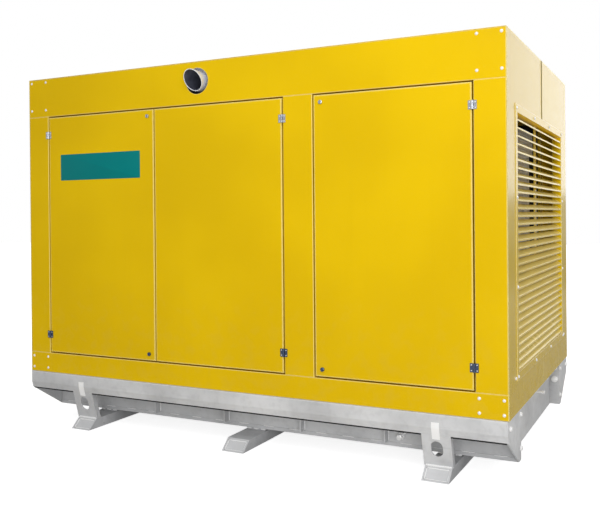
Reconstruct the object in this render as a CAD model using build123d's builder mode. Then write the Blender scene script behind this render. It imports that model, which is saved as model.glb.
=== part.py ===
from build123d import *
import os
from math import cos, radians, sin, tan

# An enclosed diesel generator: a folded sheet-steel canopy with doors along its sides and
# louvred ends, on a base tank with folded side rails that stands on three cross skids.
# X runs along the doors, the jointed doors face -Y, and Z = 0 is the underside of the skids.

# Canopy as a whole
enclosure_length = 3000
enclosure_width = 1870
enclosure_height = 1842
sheet = 3
bend_radius = 5
frame_depth = 60
seat_gap = 0.3

# Canopy front, from left to right, and from sill to fascia
post_width = 158
pillar_width = 173
left_bay_share = 0.3254
middle_bay_share = 0.3373
top_fascia_height = 240
bottom_sill_height = 122
door_gap = 8
door_depth = 38
door_edge_radius = 4
stop_depth = 45
stop_width = 18
lining_thickness = 30
lining_margin = 12

# Hinges and quarter-turn locks
hinge_height = 43
hinge_leaf = 15
hinge_plate = 3
hinge_inset = 109
knuckle_radius = 5.5
hinge_pin_radius = 3
hinge_clearance = 0.5
knuckle_sides = 12
pin_sides = 8
lock_radius = 11
lock_sides = 18
lock_head = 5
lock_side_inset = 41
lock_end_inset = 38

# Louvred ends
louvre_width = 1420
louvre_height = 1272
louvre_sill = 193
louvre_flange = 40
louvre_flange_sheet = 3
louvre_depth = 52
louvre_fit = 2
blade_pitch = 39.75
blade_depth = 36
blade_angle = 29
blade_sheet = 2.5
blade_lip = 8
mullion_width = 42
mullion_depth = 8
panel_seam = 3

# Roof
roof_panel_count = 3
roof_seam = 2

# Base: skids, tank and rails, from the ground up
skid_height = 58
skid_width = 138
left_skid_inset = 406
right_skid_inset = 349
skid_toe = 11
skid_rim = 9
skid_recess = 8
pad_height = 10
pad_border = 14
hull_height = 156
hull_inset = 258
strip_height = 20
strip_proud = 3
rail_band_height = 69
rail_lip_height = 35
rail_lip_inset = 10
rail_flange = 60
rail_sheet = 4
rail_bend_radius = 8
rail_lip_radius = 2
rail_proud = 6
base_overhang = 6
cap_width = 310
cap_thickness = 8
end_recess = 60
crossmember_thickness = 6
deck_thickness = 8
rib_count = 4
rib_pitch = 498
rib_inset = 806
rib_thickness = 8
rib_depth = 50
rib_foot_gap = 25
tab_width = 148
tab_sheet = 8
tab_flange = 35
slot_width = 60
slot_height = 80
slot_rise = 93

# Exhaust outlet and silencer
outlet_radius = 57
outlet_wall = 3
outlet_reach = 41
outlet_setback = 282
outlet_rise = 129
outlet_cut_angle = 31
outlet_gap = 16.5
collar_sheet = 3
collar_depth = 45
collar_sides = 36
silencer_radius = 100
silencer_length = 1100
silencer_setback = 620
silencer_neck = 30
silencer_bevel = 22
silencer_sides = 36
strap_width = 40
downpipe_radius = 50
downpipe_setback = 360

# Engine, alternator, radiator and control cabinet inside
bearer_height = 110
bearer_width = 70
bearer_spacing = 520
bearer_overhang = 60
round_sides = 24
machine_sides = 48
engine_length = 900
fan_gap = 120
engine_width = 420
engine_height = 540
head_width = 320
crank_rise = 180
shoulder_rise = 90
sump_height = 140
sump_width = 320
sump_clearance = 25
sump_taper_angle = 8
cover_height = 100
cover_width = 260
cover_inset = 25
cover_bevel = 25
foot_length = 90
foot_plate = 20
bell_radius = 280
bell_length = 110
hub_radius = 90
hub_length = 120
fan_hub_radius = 75
fan_hub_length = 70
fan_blade_count = 6
fan_blade_angle = 30
fan_chord = 130
fan_blade_sheet = 5
fan_tip_gap = 18
turbo_radius = 85
turbo_length = 140
manifold_length = 640
manifold_depth = 70
filter_radius = 110
filter_length = 420
filter_overlap = 25
alternator_radius = 255
alternator_length = 700
alternator_bevel = 30
alternator_foot_share = 0.6
terminal_length = 380
terminal_width = 360
terminal_height = 220
radiator_gap = 190
radiator_depth = 110
radiator_width = 1300
radiator_height = 1480
radiator_border = 60
radiator_recess = 20
header_height = 130
header_proud = 22
shroud_radius = 400
shroud_depth = 70
shroud_wall = 6
shroud_sides = 36
cabinet_width = 420
cabinet_depth = 300
cabinet_height = 1050
cabinet_stand = 420
cabinet_setback = 290
cabinet_offset = 130
cabinet_leg = 40
cabinet_round = 6
cabinet_door_border = 25
cabinet_door_sheet = 3

# Levels and half sizes that the pieces share
half_length = enclosure_length / 2
half_width = enclosure_width / 2
rail_half = half_width + rail_proud
base_half = half_length - base_overhang
hull_bottom = skid_height + pad_height
rail_bottom = hull_bottom + hull_height
rail_break = rail_bottom + rail_lip_height
base_top = rail_break + rail_band_height
sill_top = base_top + bottom_sill_height
roof_top = base_top + enclosure_height
roof_underside = roof_top - sheet
fascia_bottom = roof_top - top_fascia_height
opening_height = fascia_bottom - sill_top
deck_half = rail_half - rail_flange - seat_gap
hull_half = rail_half - hull_inset
skin_half = half_length - sheet
tab_run = (rail_bottom - skid_height) * rail_lip_inset / rail_lip_height
skid_top_half = rail_half - rail_lip_inset - tab_run
left_skid_place = left_skid_inset - base_half
right_skid_place = base_half - right_skid_inset

# Places along the front: post edge, door seam, both pillar edges and the far post edge
left_jamb = post_width - half_length
right_jamb = half_length - post_width
door_run = right_jamb - left_jamb - pillar_width
door_seam = left_jamb + door_run * left_bay_share
pillar_left = door_seam + door_run * middle_bay_share
pillar_right = pillar_left + pillar_width
bay_openings = ((left_jamb, pillar_left), (pillar_right, right_jamb))
door_bottom = sill_top + door_gap
door_top = fascia_bottom - door_gap
hinge_heights = (door_bottom + hinge_inset, door_top - hinge_inset)
lock_heights = (door_bottom + lock_end_inset, door_top - lock_end_inset)

# Places of the radiator, engine, alternator and exhaust, from the right-hand end inwards
radiator_face = half_length - radiator_gap
engine_start = radiator_face - radiator_depth - fan_gap - hub_length - engine_length
engine_middle = engine_start + engine_length / 2
alternator_end = engine_start - bell_length
outlet_offset = engine_start - outlet_setback
downpipe_offset = engine_start + downpipe_setback

os.makedirs("parts", exist_ok=True)


def save(piece, name):
    """Label a finished piece and write it."""
    piece.label = name
    export_step(piece, f"parts/{name}.step")


def fold(plane, outline, thickness, length, side, radii):
    """Draw a sheet that is folded along an open outline, with the given bend radii."""
    with BuildPart() as strip:
        with BuildSketch(plane):
            with BuildLine():
                FilletPolyline(*outline, radius=radii)
                offset(amount=thickness, side=side)
            make_face()
        extrude(amount=length)
    return strip.part


def mirrored(piece, about):
    """Return the piece seen in a mirror plane."""
    with BuildPart() as other:
        mirror(piece, about=about)
    return other.part


# Side rails: one folded sheet with a flat band, an inclined lower band and two inward flanges
rail_outline = [
    (rail_flange - rail_half, base_top),
    (-rail_half, base_top),
    (-rail_half, rail_break),
    (rail_lip_inset - rail_half, rail_bottom),
    (rail_flange - rail_half, rail_bottom),
]
rail_length = 2 * (base_half - cap_thickness)
front_side_rail = fold(
    Plane.YZ.offset(-rail_length / 2),
    rail_outline,
    rail_sheet,
    rail_length,
    Side.LEFT,
    [rail_bend_radius, rail_bend_radius, rail_lip_radius],
)
save(front_side_rail, "front_side_rail")
save(mirrored(front_side_rail, Plane.XZ), "rear_side_rail")


# Base tank: a box between upright webs with ribs, wider between the rails and recessed at both ends
recess_half = rail_half - cap_width
recess_depth = end_recess - cap_thickness + crossmember_thickness
hull_outline = [
    (0, hull_bottom),
    (hull_half + strip_proud, hull_bottom),
    (hull_half + strip_proud, hull_bottom + strip_height),
    (hull_half, hull_bottom + strip_height),
    (hull_half, rail_bottom),
    (deck_half, rail_bottom),
    (deck_half, base_top - deck_thickness),
    (0, base_top - deck_thickness),
]
with BuildPart() as base_tank:
    with BuildSketch(Plane.YZ.offset(-rail_length / 2)):
        with BuildLine():
            Polyline(*hull_outline, close=True)
        make_face()
        mirror(about=Plane.YZ)
    extrude(amount=rail_length)
    rib_middle = rib_inset - base_half + (rib_count - 1) * rib_pitch / 2
    with BuildSketch(Plane.XY.offset(hull_bottom + rib_foot_gap)):
        with Locations((rib_middle, 0)):
            with GridLocations(rib_pitch, 0, rib_count, 1):
                Rectangle(rib_thickness, 2 * (hull_half + rib_depth))
    extrude(amount=hull_height - rib_foot_gap)
    with Locations((-rail_length / 2, 0, hull_bottom), (rail_length / 2, 0, hull_bottom)):
        Box(2 * recess_depth, 2 * recess_half, 2 * base_top, mode=Mode.SUBTRACT)
save(base_tank.part, "base_tank")

with BuildPart() as floor_deck:
    deck_length = 2 * (base_half - end_recess - crossmember_thickness)
    with Locations((0, 0, base_top)):
        Box(deck_length, 2 * deck_half, deck_thickness, align=(Align.CENTER, Align.CENTER, Align.MAX))
save(floor_deck.part, "floor_deck")

# End caps: plates that close the rails and the hull at each corner
cap_outline = [
    (-rail_half, base_top),
    (-rail_half, rail_break),
    (rail_lip_inset - rail_half, rail_bottom),
    (-hull_half, hull_bottom),
    (-recess_half, hull_bottom),
    (-recess_half, base_top),
]
with BuildPart() as right_end_caps:
    with BuildSketch(Plane.YZ.offset(base_half - cap_thickness)):
        with BuildLine():
            Polyline(*cap_outline, close=True)
        make_face()
        mirror(about=Plane.YZ)
    extrude(amount=cap_thickness)
save(right_end_caps.part, "right_end_caps")
save(mirrored(right_end_caps.part, Plane.YZ), "left_end_caps")

with BuildPart() as right_end_crossmember:
    with BuildSketch(Plane.YZ.offset(base_half - end_recess - crossmember_thickness)):
        with Locations((0, (hull_bottom + base_top) / 2)):
            Rectangle(2 * (recess_half - seat_gap), base_top - hull_bottom)
    extrude(amount=crossmember_thickness)
save(right_end_crossmember.part, "right_end_crossmember")
save(mirrored(right_end_crossmember.part, Plane.YZ), "left_end_crossmember")


def skid(place):
    """Build a cross skid with a pad for the tank and inclined end plates set back within rims."""
    toe_half = rail_half + skid_toe
    with BuildPart() as beam:
        with BuildSketch(Plane.YZ.offset(place - skid_width / 2)):
            with BuildLine():
                Polyline(
                    (-toe_half, 0),
                    (toe_half, 0),
                    (skid_top_half, skid_height),
                    (-skid_top_half, skid_height),
                    close=True,
                )
            make_face()
        extrude(amount=skid_width)
        end_run = toe_half - skid_top_half
        for way in (-1, 1):
            end_plane = Plane(
                origin=(place, way * (toe_half + skid_top_half) / 2, skid_height / 2),
                x_dir=(1, 0, 0),
                z_dir=(0, way * skid_height, end_run),
            )
            end_height = (end_run**2 + skid_height**2) ** 0.5
            with BuildSketch(end_plane):
                Rectangle(skid_width - 2 * skid_rim, end_height - 2 * skid_rim)
            extrude(amount=-skid_recess, mode=Mode.SUBTRACT)
        with Locations((place, 0, skid_height)):
            Box(
                skid_width - 2 * pad_border,
                2 * hull_half,
                pad_height,
                align=(Align.CENTER, Align.CENTER, Align.MIN),
            )
    return beam.part


save(skid(left_skid_place), "left_skid")
save(skid(0), "middle_skid")
save(skid(right_skid_place), "right_skid")


def lifting_tab(place):
    """Build a lifting plate that carries on the rail's inclined band down to a skid."""
    with BuildPart() as tab:
        outer_top = rail_lip_inset - rail_half
        outer_foot = outer_top + tab_run
        for start, width, depth in (
            (0, tab_width, tab_sheet),
            (0, tab_sheet, tab_flange),
            (tab_width - tab_sheet, tab_sheet, tab_flange),
        ):
            with BuildSketch(Plane.YZ.offset(place - tab_width / 2 + start)):
                with BuildLine():
                    Polyline(
                        (outer_top, rail_bottom),
                        (outer_foot, skid_height),
                        (outer_foot + depth, skid_height),
                        (outer_top + depth, rail_bottom),
                        close=True,
                    )
                make_face()
            extrude(amount=width)
        with BuildSketch(Plane.XZ.offset(rail_half)):
            with Locations((place, skid_height + slot_rise)):
                SlotOverall(slot_height, slot_width, rotation=90)
        extrude(amount=-hull_inset, mode=Mode.SUBTRACT)
    return tab.part


for tab_side, tab_place in (("left", left_skid_place), ("right", right_skid_place)):
    front_tab = lifting_tab(tab_place)
    save(front_tab, f"front_{tab_side}_lifting_tab")
    save(mirrored(front_tab, Plane.XZ), f"rear_{tab_side}_lifting_tab")


# Corner posts: a face, a leg behind the end panel, a jamb and a door stop
front_left_post = fold(
    Plane.XY.offset(sill_top),
    [
        (-skin_half, frame_depth - half_width),
        (-skin_half, -half_width),
        (left_jamb, -half_width),
        (left_jamb, stop_depth - half_width),
        (left_jamb + stop_width, stop_depth - half_width),
    ],
    sheet,
    opening_height,
    Side.LEFT,
    bend_radius,
)
front_right_post = mirrored(front_left_post, Plane.YZ)
save(front_left_post, "front_left_post")
save(front_right_post, "front_right_post")
save(mirrored(front_left_post, Plane.XZ), "rear_left_post")
save(mirrored(front_right_post, Plane.XZ), "rear_right_post")

front_centre_pillar = fold(
    Plane.XY.offset(sill_top),
    [
        (pillar_left - stop_width, stop_depth - half_width),
        (pillar_left, stop_depth - half_width),
        (pillar_left, -half_width),
        (pillar_right, -half_width),
        (pillar_right, stop_depth - half_width),
        (pillar_right + stop_width, stop_depth - half_width),
    ],
    sheet,
    opening_height,
    Side.LEFT,
    bend_radius,
)
save(front_centre_pillar, "front_centre_pillar")
save(mirrored(front_centre_pillar, Plane.XZ), "rear_centre_pillar")


def long_member(level, reach, side, stop_start):
    """Build a fascia or a sill: a folded sheet along the whole side, with door stops behind."""
    strip = fold(
        Plane.YZ.offset(-skin_half),
        [
            (frame_depth - half_width, reach),
            (-half_width, reach),
            (-half_width, level),
            (stop_depth - half_width, level),
        ],
        sheet,
        2 * skin_half,
        side,
        bend_radius,
    )
    with BuildPart() as member:
        add(strip)
        for start, end in bay_openings:
            stop_length = end - start - 2 * (stop_width + seat_gap)
            with Locations(((start + end) / 2, stop_depth - half_width, stop_start)):
                Box(stop_length, sheet, stop_width + sheet, align=(Align.CENTER, Align.MIN, Align.MIN))
    return member.part


outlet_level = fascia_bottom + outlet_rise
plain_fascia = long_member(fascia_bottom, roof_underside, Side.LEFT, fascia_bottom - stop_width)
with BuildPart() as front_top_fascia:
    add(plain_fascia)
    with BuildSketch(Plane.XZ.offset(half_width)):
        with Locations((outlet_offset, outlet_level)):
            Circle(outlet_radius + outlet_gap)
    extrude(amount=-2 * sheet, both=True, mode=Mode.SUBTRACT)
save(front_top_fascia.part, "front_top_fascia")
save(mirrored(plain_fascia, Plane.XZ), "rear_top_fascia")

front_bottom_sill = long_member(sill_top, base_top, Side.RIGHT, sill_top - sheet)
save(front_bottom_sill, "front_bottom_sill")
save(mirrored(front_bottom_sill, Plane.XZ), "rear_bottom_sill")

# End panels: a front and a rear half round the louvre opening, with flanges top and bottom
louvre_bottom = base_top + louvre_sill
louvre_centre = louvre_bottom + louvre_height / 2
opening_margin = louvre_flange_sheet + louvre_fit
with BuildPart() as right_end_panels:
    with BuildSketch(Plane.YZ.offset(skin_half)):
        with Locations((0, (base_top + roof_underside) / 2)):
            Rectangle(enclosure_width, roof_underside - base_top)
            Rectangle(panel_seam, enclosure_height, mode=Mode.SUBTRACT)
        with Locations((0, louvre_centre)):
            Rectangle(
                louvre_width + 2 * opening_margin,
                louvre_height + 2 * opening_margin,
                mode=Mode.SUBTRACT,
            )
    extrude(amount=sheet)
    flange_length = half_width - frame_depth - seat_gap - panel_seam / 2
    for way in (-1, 1):
        flange_place = way * (flange_length + panel_seam) / 2
        for level, rest in ((base_top, Align.MIN), (roof_underside, Align.MAX)):
            with Locations((half_length, flange_place, level)):
                Box(frame_depth, flange_length, sheet, align=(Align.MAX, Align.CENTER, rest))
save(right_end_panels.part, "right_end_panels")
save(mirrored(right_end_panels.part, Plane.YZ), "left_end_panels")

# Louvre grille: a flanged frame, inclined blades with a turned-down lip and a mullion behind them
blade_rise = blade_depth * tan(radians(blade_angle))
blade_skin = blade_sheet / cos(radians(blade_angle))
blade_count = int(louvre_height / blade_pitch)
blade_outline = [
    (0, -blade_lip),
    (0, 0),
    (-blade_depth, blade_rise),
    (-blade_depth, blade_rise - blade_skin),
    (-blade_sheet, -blade_skin),
    (-blade_sheet, -blade_lip),
]
with BuildPart() as right_louvre_grille:
    with BuildSketch(Plane.YZ.offset(half_length)):
        with Locations((0, louvre_centre)):
            Rectangle(louvre_width + 2 * louvre_flange, louvre_height + 2 * louvre_flange)
            Rectangle(louvre_width, louvre_height, mode=Mode.SUBTRACT)
    extrude(amount=louvre_flange_sheet)
    with BuildSketch(Plane.YZ.offset(half_length)):
        with Locations((0, louvre_centre)):
            Rectangle(louvre_width + 2 * louvre_flange_sheet, louvre_height + 2 * louvre_flange_sheet)
            Rectangle(louvre_width, louvre_height, mode=Mode.SUBTRACT)
    extrude(amount=-louvre_depth)
    first_blade = louvre_bottom + (louvre_height - (blade_count - 1) * blade_pitch - blade_rise) / 2
    with BuildSketch(Plane.XZ.offset(-louvre_width / 2)):
        for index in range(blade_count):
            with Locations((half_length, first_blade + index * blade_pitch)):
                Polygon(*blade_outline, align=None)
    extrude(amount=louvre_width)
    with Locations((half_length - blade_depth - seat_gap, 0, louvre_centre)):
        Box(mullion_depth, mullion_width, louvre_height, align=(Align.MAX, Align.CENTER, Align.CENTER))
save(right_louvre_grille.part, "right_louvre_grille")
save(mirrored(right_louvre_grille.part, Plane.YZ), "left_louvre_grille")

with BuildPart() as roof_panels:
    roof_step = enclosure_length / roof_panel_count
    with Locations((0, 0, roof_underside)):
        with GridLocations(roof_step, 0, roof_panel_count, 1):
            Box(
                roof_step - roof_seam,
                enclosure_width,
                sheet,
                align=(Align.CENTER, Align.CENTER, Align.MIN),
            )
save(roof_panels.part, "roof_panels")


def door_pan(left, right):
    """Build a door: a shallow pan with rounded front edges, open towards the inside."""
    with BuildPart() as pan:
        with Locations(((left + right) / 2, -half_width, (door_bottom + door_top) / 2)):
            Box(
                right - left,
                door_depth,
                door_top - door_bottom,
                align=(Align.CENTER, Align.MIN, Align.CENTER),
            )
        fillet(pan.faces().sort_by(Axis.Y)[0].edges(), door_edge_radius)
        offset(amount=-sheet, openings=pan.faces().sort_by(Axis.Y)[-1])
    return pan.part


def door_lining(left, right):
    """Build the flat foam pad that lies in a door pan."""
    margin = sheet + lining_margin
    with BuildPart() as pad:
        with Locations(((left + right) / 2, sheet - half_width, (door_bottom + door_top) / 2)):
            Box(
                right - left - 2 * margin,
                lining_thickness,
                door_top - door_bottom - 2 * margin,
                align=(Align.CENTER, Align.MIN, Align.CENTER),
            )
    return pad.part


# Hinge lines lie on the knuckles, in front of the face and over the middle of the door gap
hinge_line = half_width + knuckle_radius + hinge_clearance
knuckle_height = hinge_height / 3


def fixed_leaf(place, level, way):
    """Build a frame leaf with two knuckles and the pin; way points from the frame to the door."""
    with BuildPart() as leaf:
        plate_edge = place - way * (knuckle_radius + hinge_clearance)
        with Locations((plate_edge - way * hinge_leaf / 2, -half_width, level)):
            Box(hinge_leaf, hinge_plate, hinge_height, align=(Align.CENTER, Align.MAX, Align.CENTER))
        for step in (-1, 1):
            with BuildSketch(Plane.XY.offset(level + (step - 1 / 2) * knuckle_height)):
                with Locations((place, -hinge_line)):
                    RegularPolygon(knuckle_radius, knuckle_sides)
                with Locations(((place + plate_edge - way * hinge_plate) / 2, -half_width)):
                    Rectangle(
                        knuckle_radius + hinge_clearance + hinge_plate,
                        hinge_plate,
                        align=(Align.CENTER, Align.MAX),
                    )
            extrude(amount=knuckle_height)
        with BuildSketch(Plane.XY.offset(level - hinge_height / 2)):
            with Locations((place, -hinge_line)):
                RegularPolygon(hinge_pin_radius, pin_sides)
        extrude(amount=hinge_height)
    return leaf.part


def moving_leaf(place, level, way):
    """Build a door leaf with the middle knuckle, bored for the pin."""
    with BuildPart() as leaf:
        plate_edge = place + way * (knuckle_radius + hinge_clearance)
        with Locations((plate_edge + way * hinge_leaf / 2, -half_width, level)):
            Box(hinge_leaf, hinge_plate, hinge_height, align=(Align.CENTER, Align.MAX, Align.CENTER))
        middle_height = knuckle_height - 2 * hinge_clearance
        with BuildSketch(Plane.XY.offset(level - middle_height / 2)):
            with Locations((place, -hinge_line)):
                RegularPolygon(knuckle_radius, knuckle_sides)
            with Locations(((place + plate_edge + way * hinge_plate) / 2, -half_width)):
                Rectangle(
                    knuckle_radius + hinge_clearance + hinge_plate,
                    hinge_plate,
                    align=(Align.CENTER, Align.MAX),
                )
            with Locations((place, -hinge_line)):
                RegularPolygon(
                    hinge_pin_radius + seat_gap,
                    pin_sides,
                    major_radius=False,
                    mode=Mode.SUBTRACT,
                )
        extrude(amount=middle_height)
    return leaf.part


def closed_hinge(place, level):
    """Build a rear hinge as one piece: both leaves and a plain barrel."""
    with BuildPart() as hinge:
        hinge_width = 2 * (hinge_leaf + knuckle_radius + hinge_clearance)
        with BuildSketch(Plane.XY.offset(level - hinge_height / 2)):
            with Locations((place, half_width)):
                Rectangle(hinge_width, hinge_plate, align=(Align.CENTER, Align.MIN))
            with Locations((place, hinge_line)):
                RegularPolygon(knuckle_radius, knuckle_sides)
        extrude(amount=hinge_height)
    return hinge.part


def lock_head_at(place, level):
    """Build the round head of a quarter-turn lock on a door face."""
    with BuildPart() as head:
        with BuildSketch(Plane.XZ.offset(half_width)):
            with Locations((place, level)):
                RegularPolygon(lock_radius, lock_sides)
        extrude(amount=lock_head)
    return head.part


# Doors: name, left and right edge, hinge place, way from frame to door, and lock place or none
doors = (
    (
        "left_door",
        left_jamb + door_gap,
        door_seam - door_gap / 2,
        left_jamb + door_gap / 2,
        1,
        door_seam - door_gap / 2 - lock_side_inset,
    ),
    (
        "middle_door",
        door_seam + door_gap / 2,
        pillar_left - door_gap,
        pillar_left - door_gap / 2,
        -1,
        None,
    ),
    (
        "right_door",
        pillar_right + door_gap,
        right_jamb - door_gap,
        right_jamb - door_gap / 2,
        -1,
        pillar_right + door_gap + lock_side_inset,
    ),
)
fixed_leaves = []
rear_hardware = []
rear_pans = []
rear_pads = []
for door_name, left, right, hinge_place, way, lock_place in doors:
    pan_piece = door_pan(left, right)
    pad_piece = door_lining(left, right)
    door_locks = []
    if lock_place is not None:
        door_locks = [lock_head_at(lock_place, level) for level in lock_heights]
    door_leaves = [moving_leaf(hinge_place, level, way) for level in hinge_heights]
    save(pan_piece, door_name)
    save(pad_piece, f"{door_name}_lining")
    save(Compound(door_leaves + door_locks), f"{door_name}_hardware")
    fixed_leaves += [fixed_leaf(hinge_place, level, way) for level in hinge_heights]
    rear_pans.append(mirrored(pan_piece, Plane.XZ))
    rear_pads.append(mirrored(pad_piece, Plane.XZ))
    rear_hardware += [closed_hinge(hinge_place, level) for level in hinge_heights]
    rear_hardware += [mirrored(lock, Plane.XZ) for lock in door_locks]
save(Compound(fixed_leaves), "front_hinge_leaves")
save(Compound(rear_pans), "rear_doors")
save(Compound(rear_pads), "rear_door_linings")
save(Compound(rear_hardware), "rear_door_hardware")

# Exhaust outlet: a pipe through a wider hole in the fascia, cut on the slant to open downwards
silencer_line = silencer_setback - half_width
neck_front = silencer_line - silencer_radius - silencer_neck
with BuildPart() as exhaust_outlet:
    with BuildSketch(Plane.XZ.offset(-neck_front)):
        with Locations((outlet_offset, outlet_level)):
            Circle(outlet_radius)
            Circle(outlet_radius - outlet_wall, mode=Mode.SUBTRACT)
    extrude(amount=half_width + neck_front + outlet_reach + 2 * outlet_radius)
    cut_angle = radians(outlet_cut_angle)
    slant = Plane(
        origin=(outlet_offset, -half_width - outlet_reach, outlet_level),
        z_dir=(0, -cos(cut_angle), -sin(cut_angle)),
    )
    split(bisect_by=slant, keep=Keep.BOTTOM)
save(exhaust_outlet.part, "exhaust_outlet")

# Collar: a cup behind the fascia that closes the gap between the hole and the pipe
hole_radius = outlet_radius + outlet_gap
with BuildPart() as exhaust_collar:
    for setback, depth, inner_radius in (
        (sheet, collar_depth, hole_radius),
        (sheet + collar_depth, collar_sheet, outlet_radius + seat_gap),
    ):
        with BuildSketch(Plane.XZ.offset(half_width - setback)):
            with Locations((outlet_offset, outlet_level)):
                RegularPolygon(hole_radius + collar_sheet, collar_sides, major_radius=False)
                RegularPolygon(inner_radius, collar_sides, major_radius=False, mode=Mode.SUBTRACT)
        extrude(amount=-depth)
save(exhaust_collar.part, "exhaust_collar")

# Silencer: a round drum hung from the roof, with a neck to the outlet and a downpipe
engine_floor = base_top + bearer_height
block_bottom = engine_floor + sump_height + sump_clearance
block_top = block_bottom + engine_height
turbo_level = block_top - turbo_radius
with BuildPart() as silencer:
    with BuildSketch(Plane.YZ.offset(outlet_offset - silencer_length / 4)):
        with Locations((silencer_line, outlet_level)):
            RegularPolygon(silencer_radius, silencer_sides)
    extrude(amount=silencer_length)
    chamfer(silencer.faces().filter_by(Axis.X).edges(), silencer_bevel)
    with BuildSketch(Plane.XZ.offset(-silencer_line)):
        with Locations((outlet_offset, outlet_level)):
            Circle(outlet_radius)
    extrude(amount=silencer_radius + silencer_neck)
    with BuildSketch(Plane.XY.offset(outlet_level)):
        with Locations((downpipe_offset, silencer_line)):
            Circle(downpipe_radius)
    extrude(amount=turbo_level + turbo_radius - outlet_level)
    for strap_place in (outlet_offset - silencer_length / 8, outlet_offset + silencer_length * 5 / 8):
        with Locations((strap_place, silencer_line, outlet_level)):
            Box(
                strap_width,
                silencer_radius,
                roof_underside - outlet_level,
                align=(Align.CENTER, Align.CENTER, Align.MIN),
            )
save(silencer.part, "silencer")

# Engine bearers on the deck
bearer_start = alternator_end - alternator_length - bearer_overhang
bearer_end = engine_start + engine_length + bearer_overhang
with BuildPart() as engine_bearers:
    with Locations(((bearer_start + bearer_end) / 2, 0, base_top)):
        with GridLocations(0, bearer_spacing, 1, 2):
            Box(
                bearer_end - bearer_start,
                bearer_width,
                bearer_height,
                align=(Align.CENTER, Align.CENTER, Align.MIN),
            )
save(engine_bearers.part, "engine_bearers")

crank_level = block_bottom + crank_rise
fan_level = crank_level + hub_radius


def bracket_outline(inner, low, high):
    """Give the outline of a foot that spreads from a machine's side down to its bearer."""
    return [
        (inner, low),
        ((bearer_spacing - bearer_width) / 2, engine_floor),
        ((bearer_spacing + bearer_width) / 2, engine_floor),
        ((bearer_spacing + bearer_width) / 2, engine_floor + foot_plate),
        (inner, high),
    ]


# Engine: crankcase and head, sump, rocker cover, bell housing, fan, manifold, turbocharger and feet
block_outline = [
    (0, block_bottom),
    (engine_width / 2, block_bottom),
    (engine_width / 2, crank_level),
    (head_width / 2, crank_level + shoulder_rise),
    (head_width / 2, block_top),
    (0, block_top),
]
engine_end = engine_start + engine_length
with BuildPart() as engine:
    with BuildSketch(Plane.YZ.offset(engine_start)):
        Polygon(*block_outline, align=None)
        mirror(about=Plane.YZ)
    extrude(amount=engine_length)
    with BuildSketch(Plane(origin=(engine_middle, 0, block_bottom), z_dir=(0, 0, -1))):
        Rectangle(engine_length, sump_width)
    extrude(amount=sump_height, taper=sump_taper_angle)
    with Locations((engine_middle, 0, block_top)):
        Box(
            engine_length - 2 * cover_inset,
            cover_width,
            cover_height,
            align=(Align.CENTER, Align.CENTER, Align.MIN),
        )
    chamfer(engine.faces().sort_by(Axis.Z)[-1].edges(), cover_bevel)
    with BuildSketch(Plane.YZ.offset(engine_start)):
        with Locations((0, crank_level)):
            RegularPolygon(bell_radius, machine_sides)
    extrude(amount=-bell_length)
    with BuildSketch(Plane.YZ.offset(engine_end)):
        with Locations((0, fan_level)):
            RegularPolygon(hub_radius, round_sides)
    extrude(amount=hub_length)
    with BuildSketch(Plane.YZ.offset(engine_end + hub_length)):
        with Locations((0, fan_level)):
            RegularPolygon(fan_hub_radius, round_sides)
    extrude(amount=fan_hub_length)
    fan_tip = shroud_radius - shroud_wall - fan_tip_gap
    fan_place = engine_end + hub_length + fan_hub_length / 2
    with Locations(Plane(origin=(fan_place, 0, fan_level), x_dir=(0, 1, 0), z_dir=(1, 0, 0))):
        with PolarLocations(fan_tip / 2, fan_blade_count):
            with Locations(Rotation(fan_blade_angle, 0, 0)):
                Box(fan_tip, fan_chord, fan_blade_sheet)
    turbo_front = silencer_line
    with BuildSketch(Plane.YZ.offset(downpipe_offset - turbo_length / 2)):
        with Locations((turbo_front, turbo_level)):
            RegularPolygon(turbo_radius, round_sides)
    extrude(amount=turbo_length)
    with Locations((downpipe_offset, -head_width / 2, turbo_level)):
        Box(
            turbo_length / 2,
            -turbo_front - head_width / 2,
            turbo_radius,
            align=(Align.CENTER, Align.MAX, Align.CENTER),
        )
    with Locations((engine_middle, -head_width / 2, turbo_level)):
        Box(
            manifold_length,
            manifold_depth,
            turbo_radius,
            align=(Align.CENTER, Align.MAX, Align.CENTER),
        )
    with BuildSketch(Plane.YZ.offset(engine_middle - filter_length / 2)):
        with Locations((head_width / 2 + filter_radius - filter_overlap, block_top)):
            RegularPolygon(filter_radius, round_sides)
    extrude(amount=filter_length)
    for foot_place in (engine_start + foot_length, engine_end - foot_length):
        with BuildSketch(Plane.YZ.offset(foot_place - foot_length / 2)):
            Polygon(*bracket_outline(engine_width / 2 - foot_plate, block_bottom, crank_level), align=None)
            mirror(about=Plane.YZ)
        extrude(amount=foot_length)
save(engine.part, "engine")

# Alternator: a round machine behind the bell housing, with a terminal box and feet
alternator_start = alternator_end - alternator_length
alternator_foot_half = alternator_radius * alternator_foot_share
with BuildPart() as alternator:
    with BuildSketch(Plane.YZ.offset(alternator_start)):
        with Locations((0, crank_level)):
            RegularPolygon(alternator_radius, machine_sides)
    extrude(amount=alternator_length)
    chamfer(alternator.faces().sort_by(Axis.X)[0].edges(), alternator_bevel)
    with Locations(((alternator_start + alternator_end) / 2, 0, crank_level)):
        Box(
            terminal_length,
            terminal_width,
            alternator_radius + terminal_height,
            align=(Align.CENTER, Align.CENTER, Align.MIN),
        )
    for foot_place in (alternator_start + 2 * foot_length, alternator_end - foot_length):
        with BuildSketch(Plane.YZ.offset(foot_place - foot_length / 2)):
            Polygon(
                *bracket_outline(alternator_foot_half, crank_level - alternator_foot_half, crank_level),
                align=None,
            )
            mirror(about=Plane.YZ)
        extrude(amount=foot_length)
save(alternator.part, "alternator")

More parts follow.
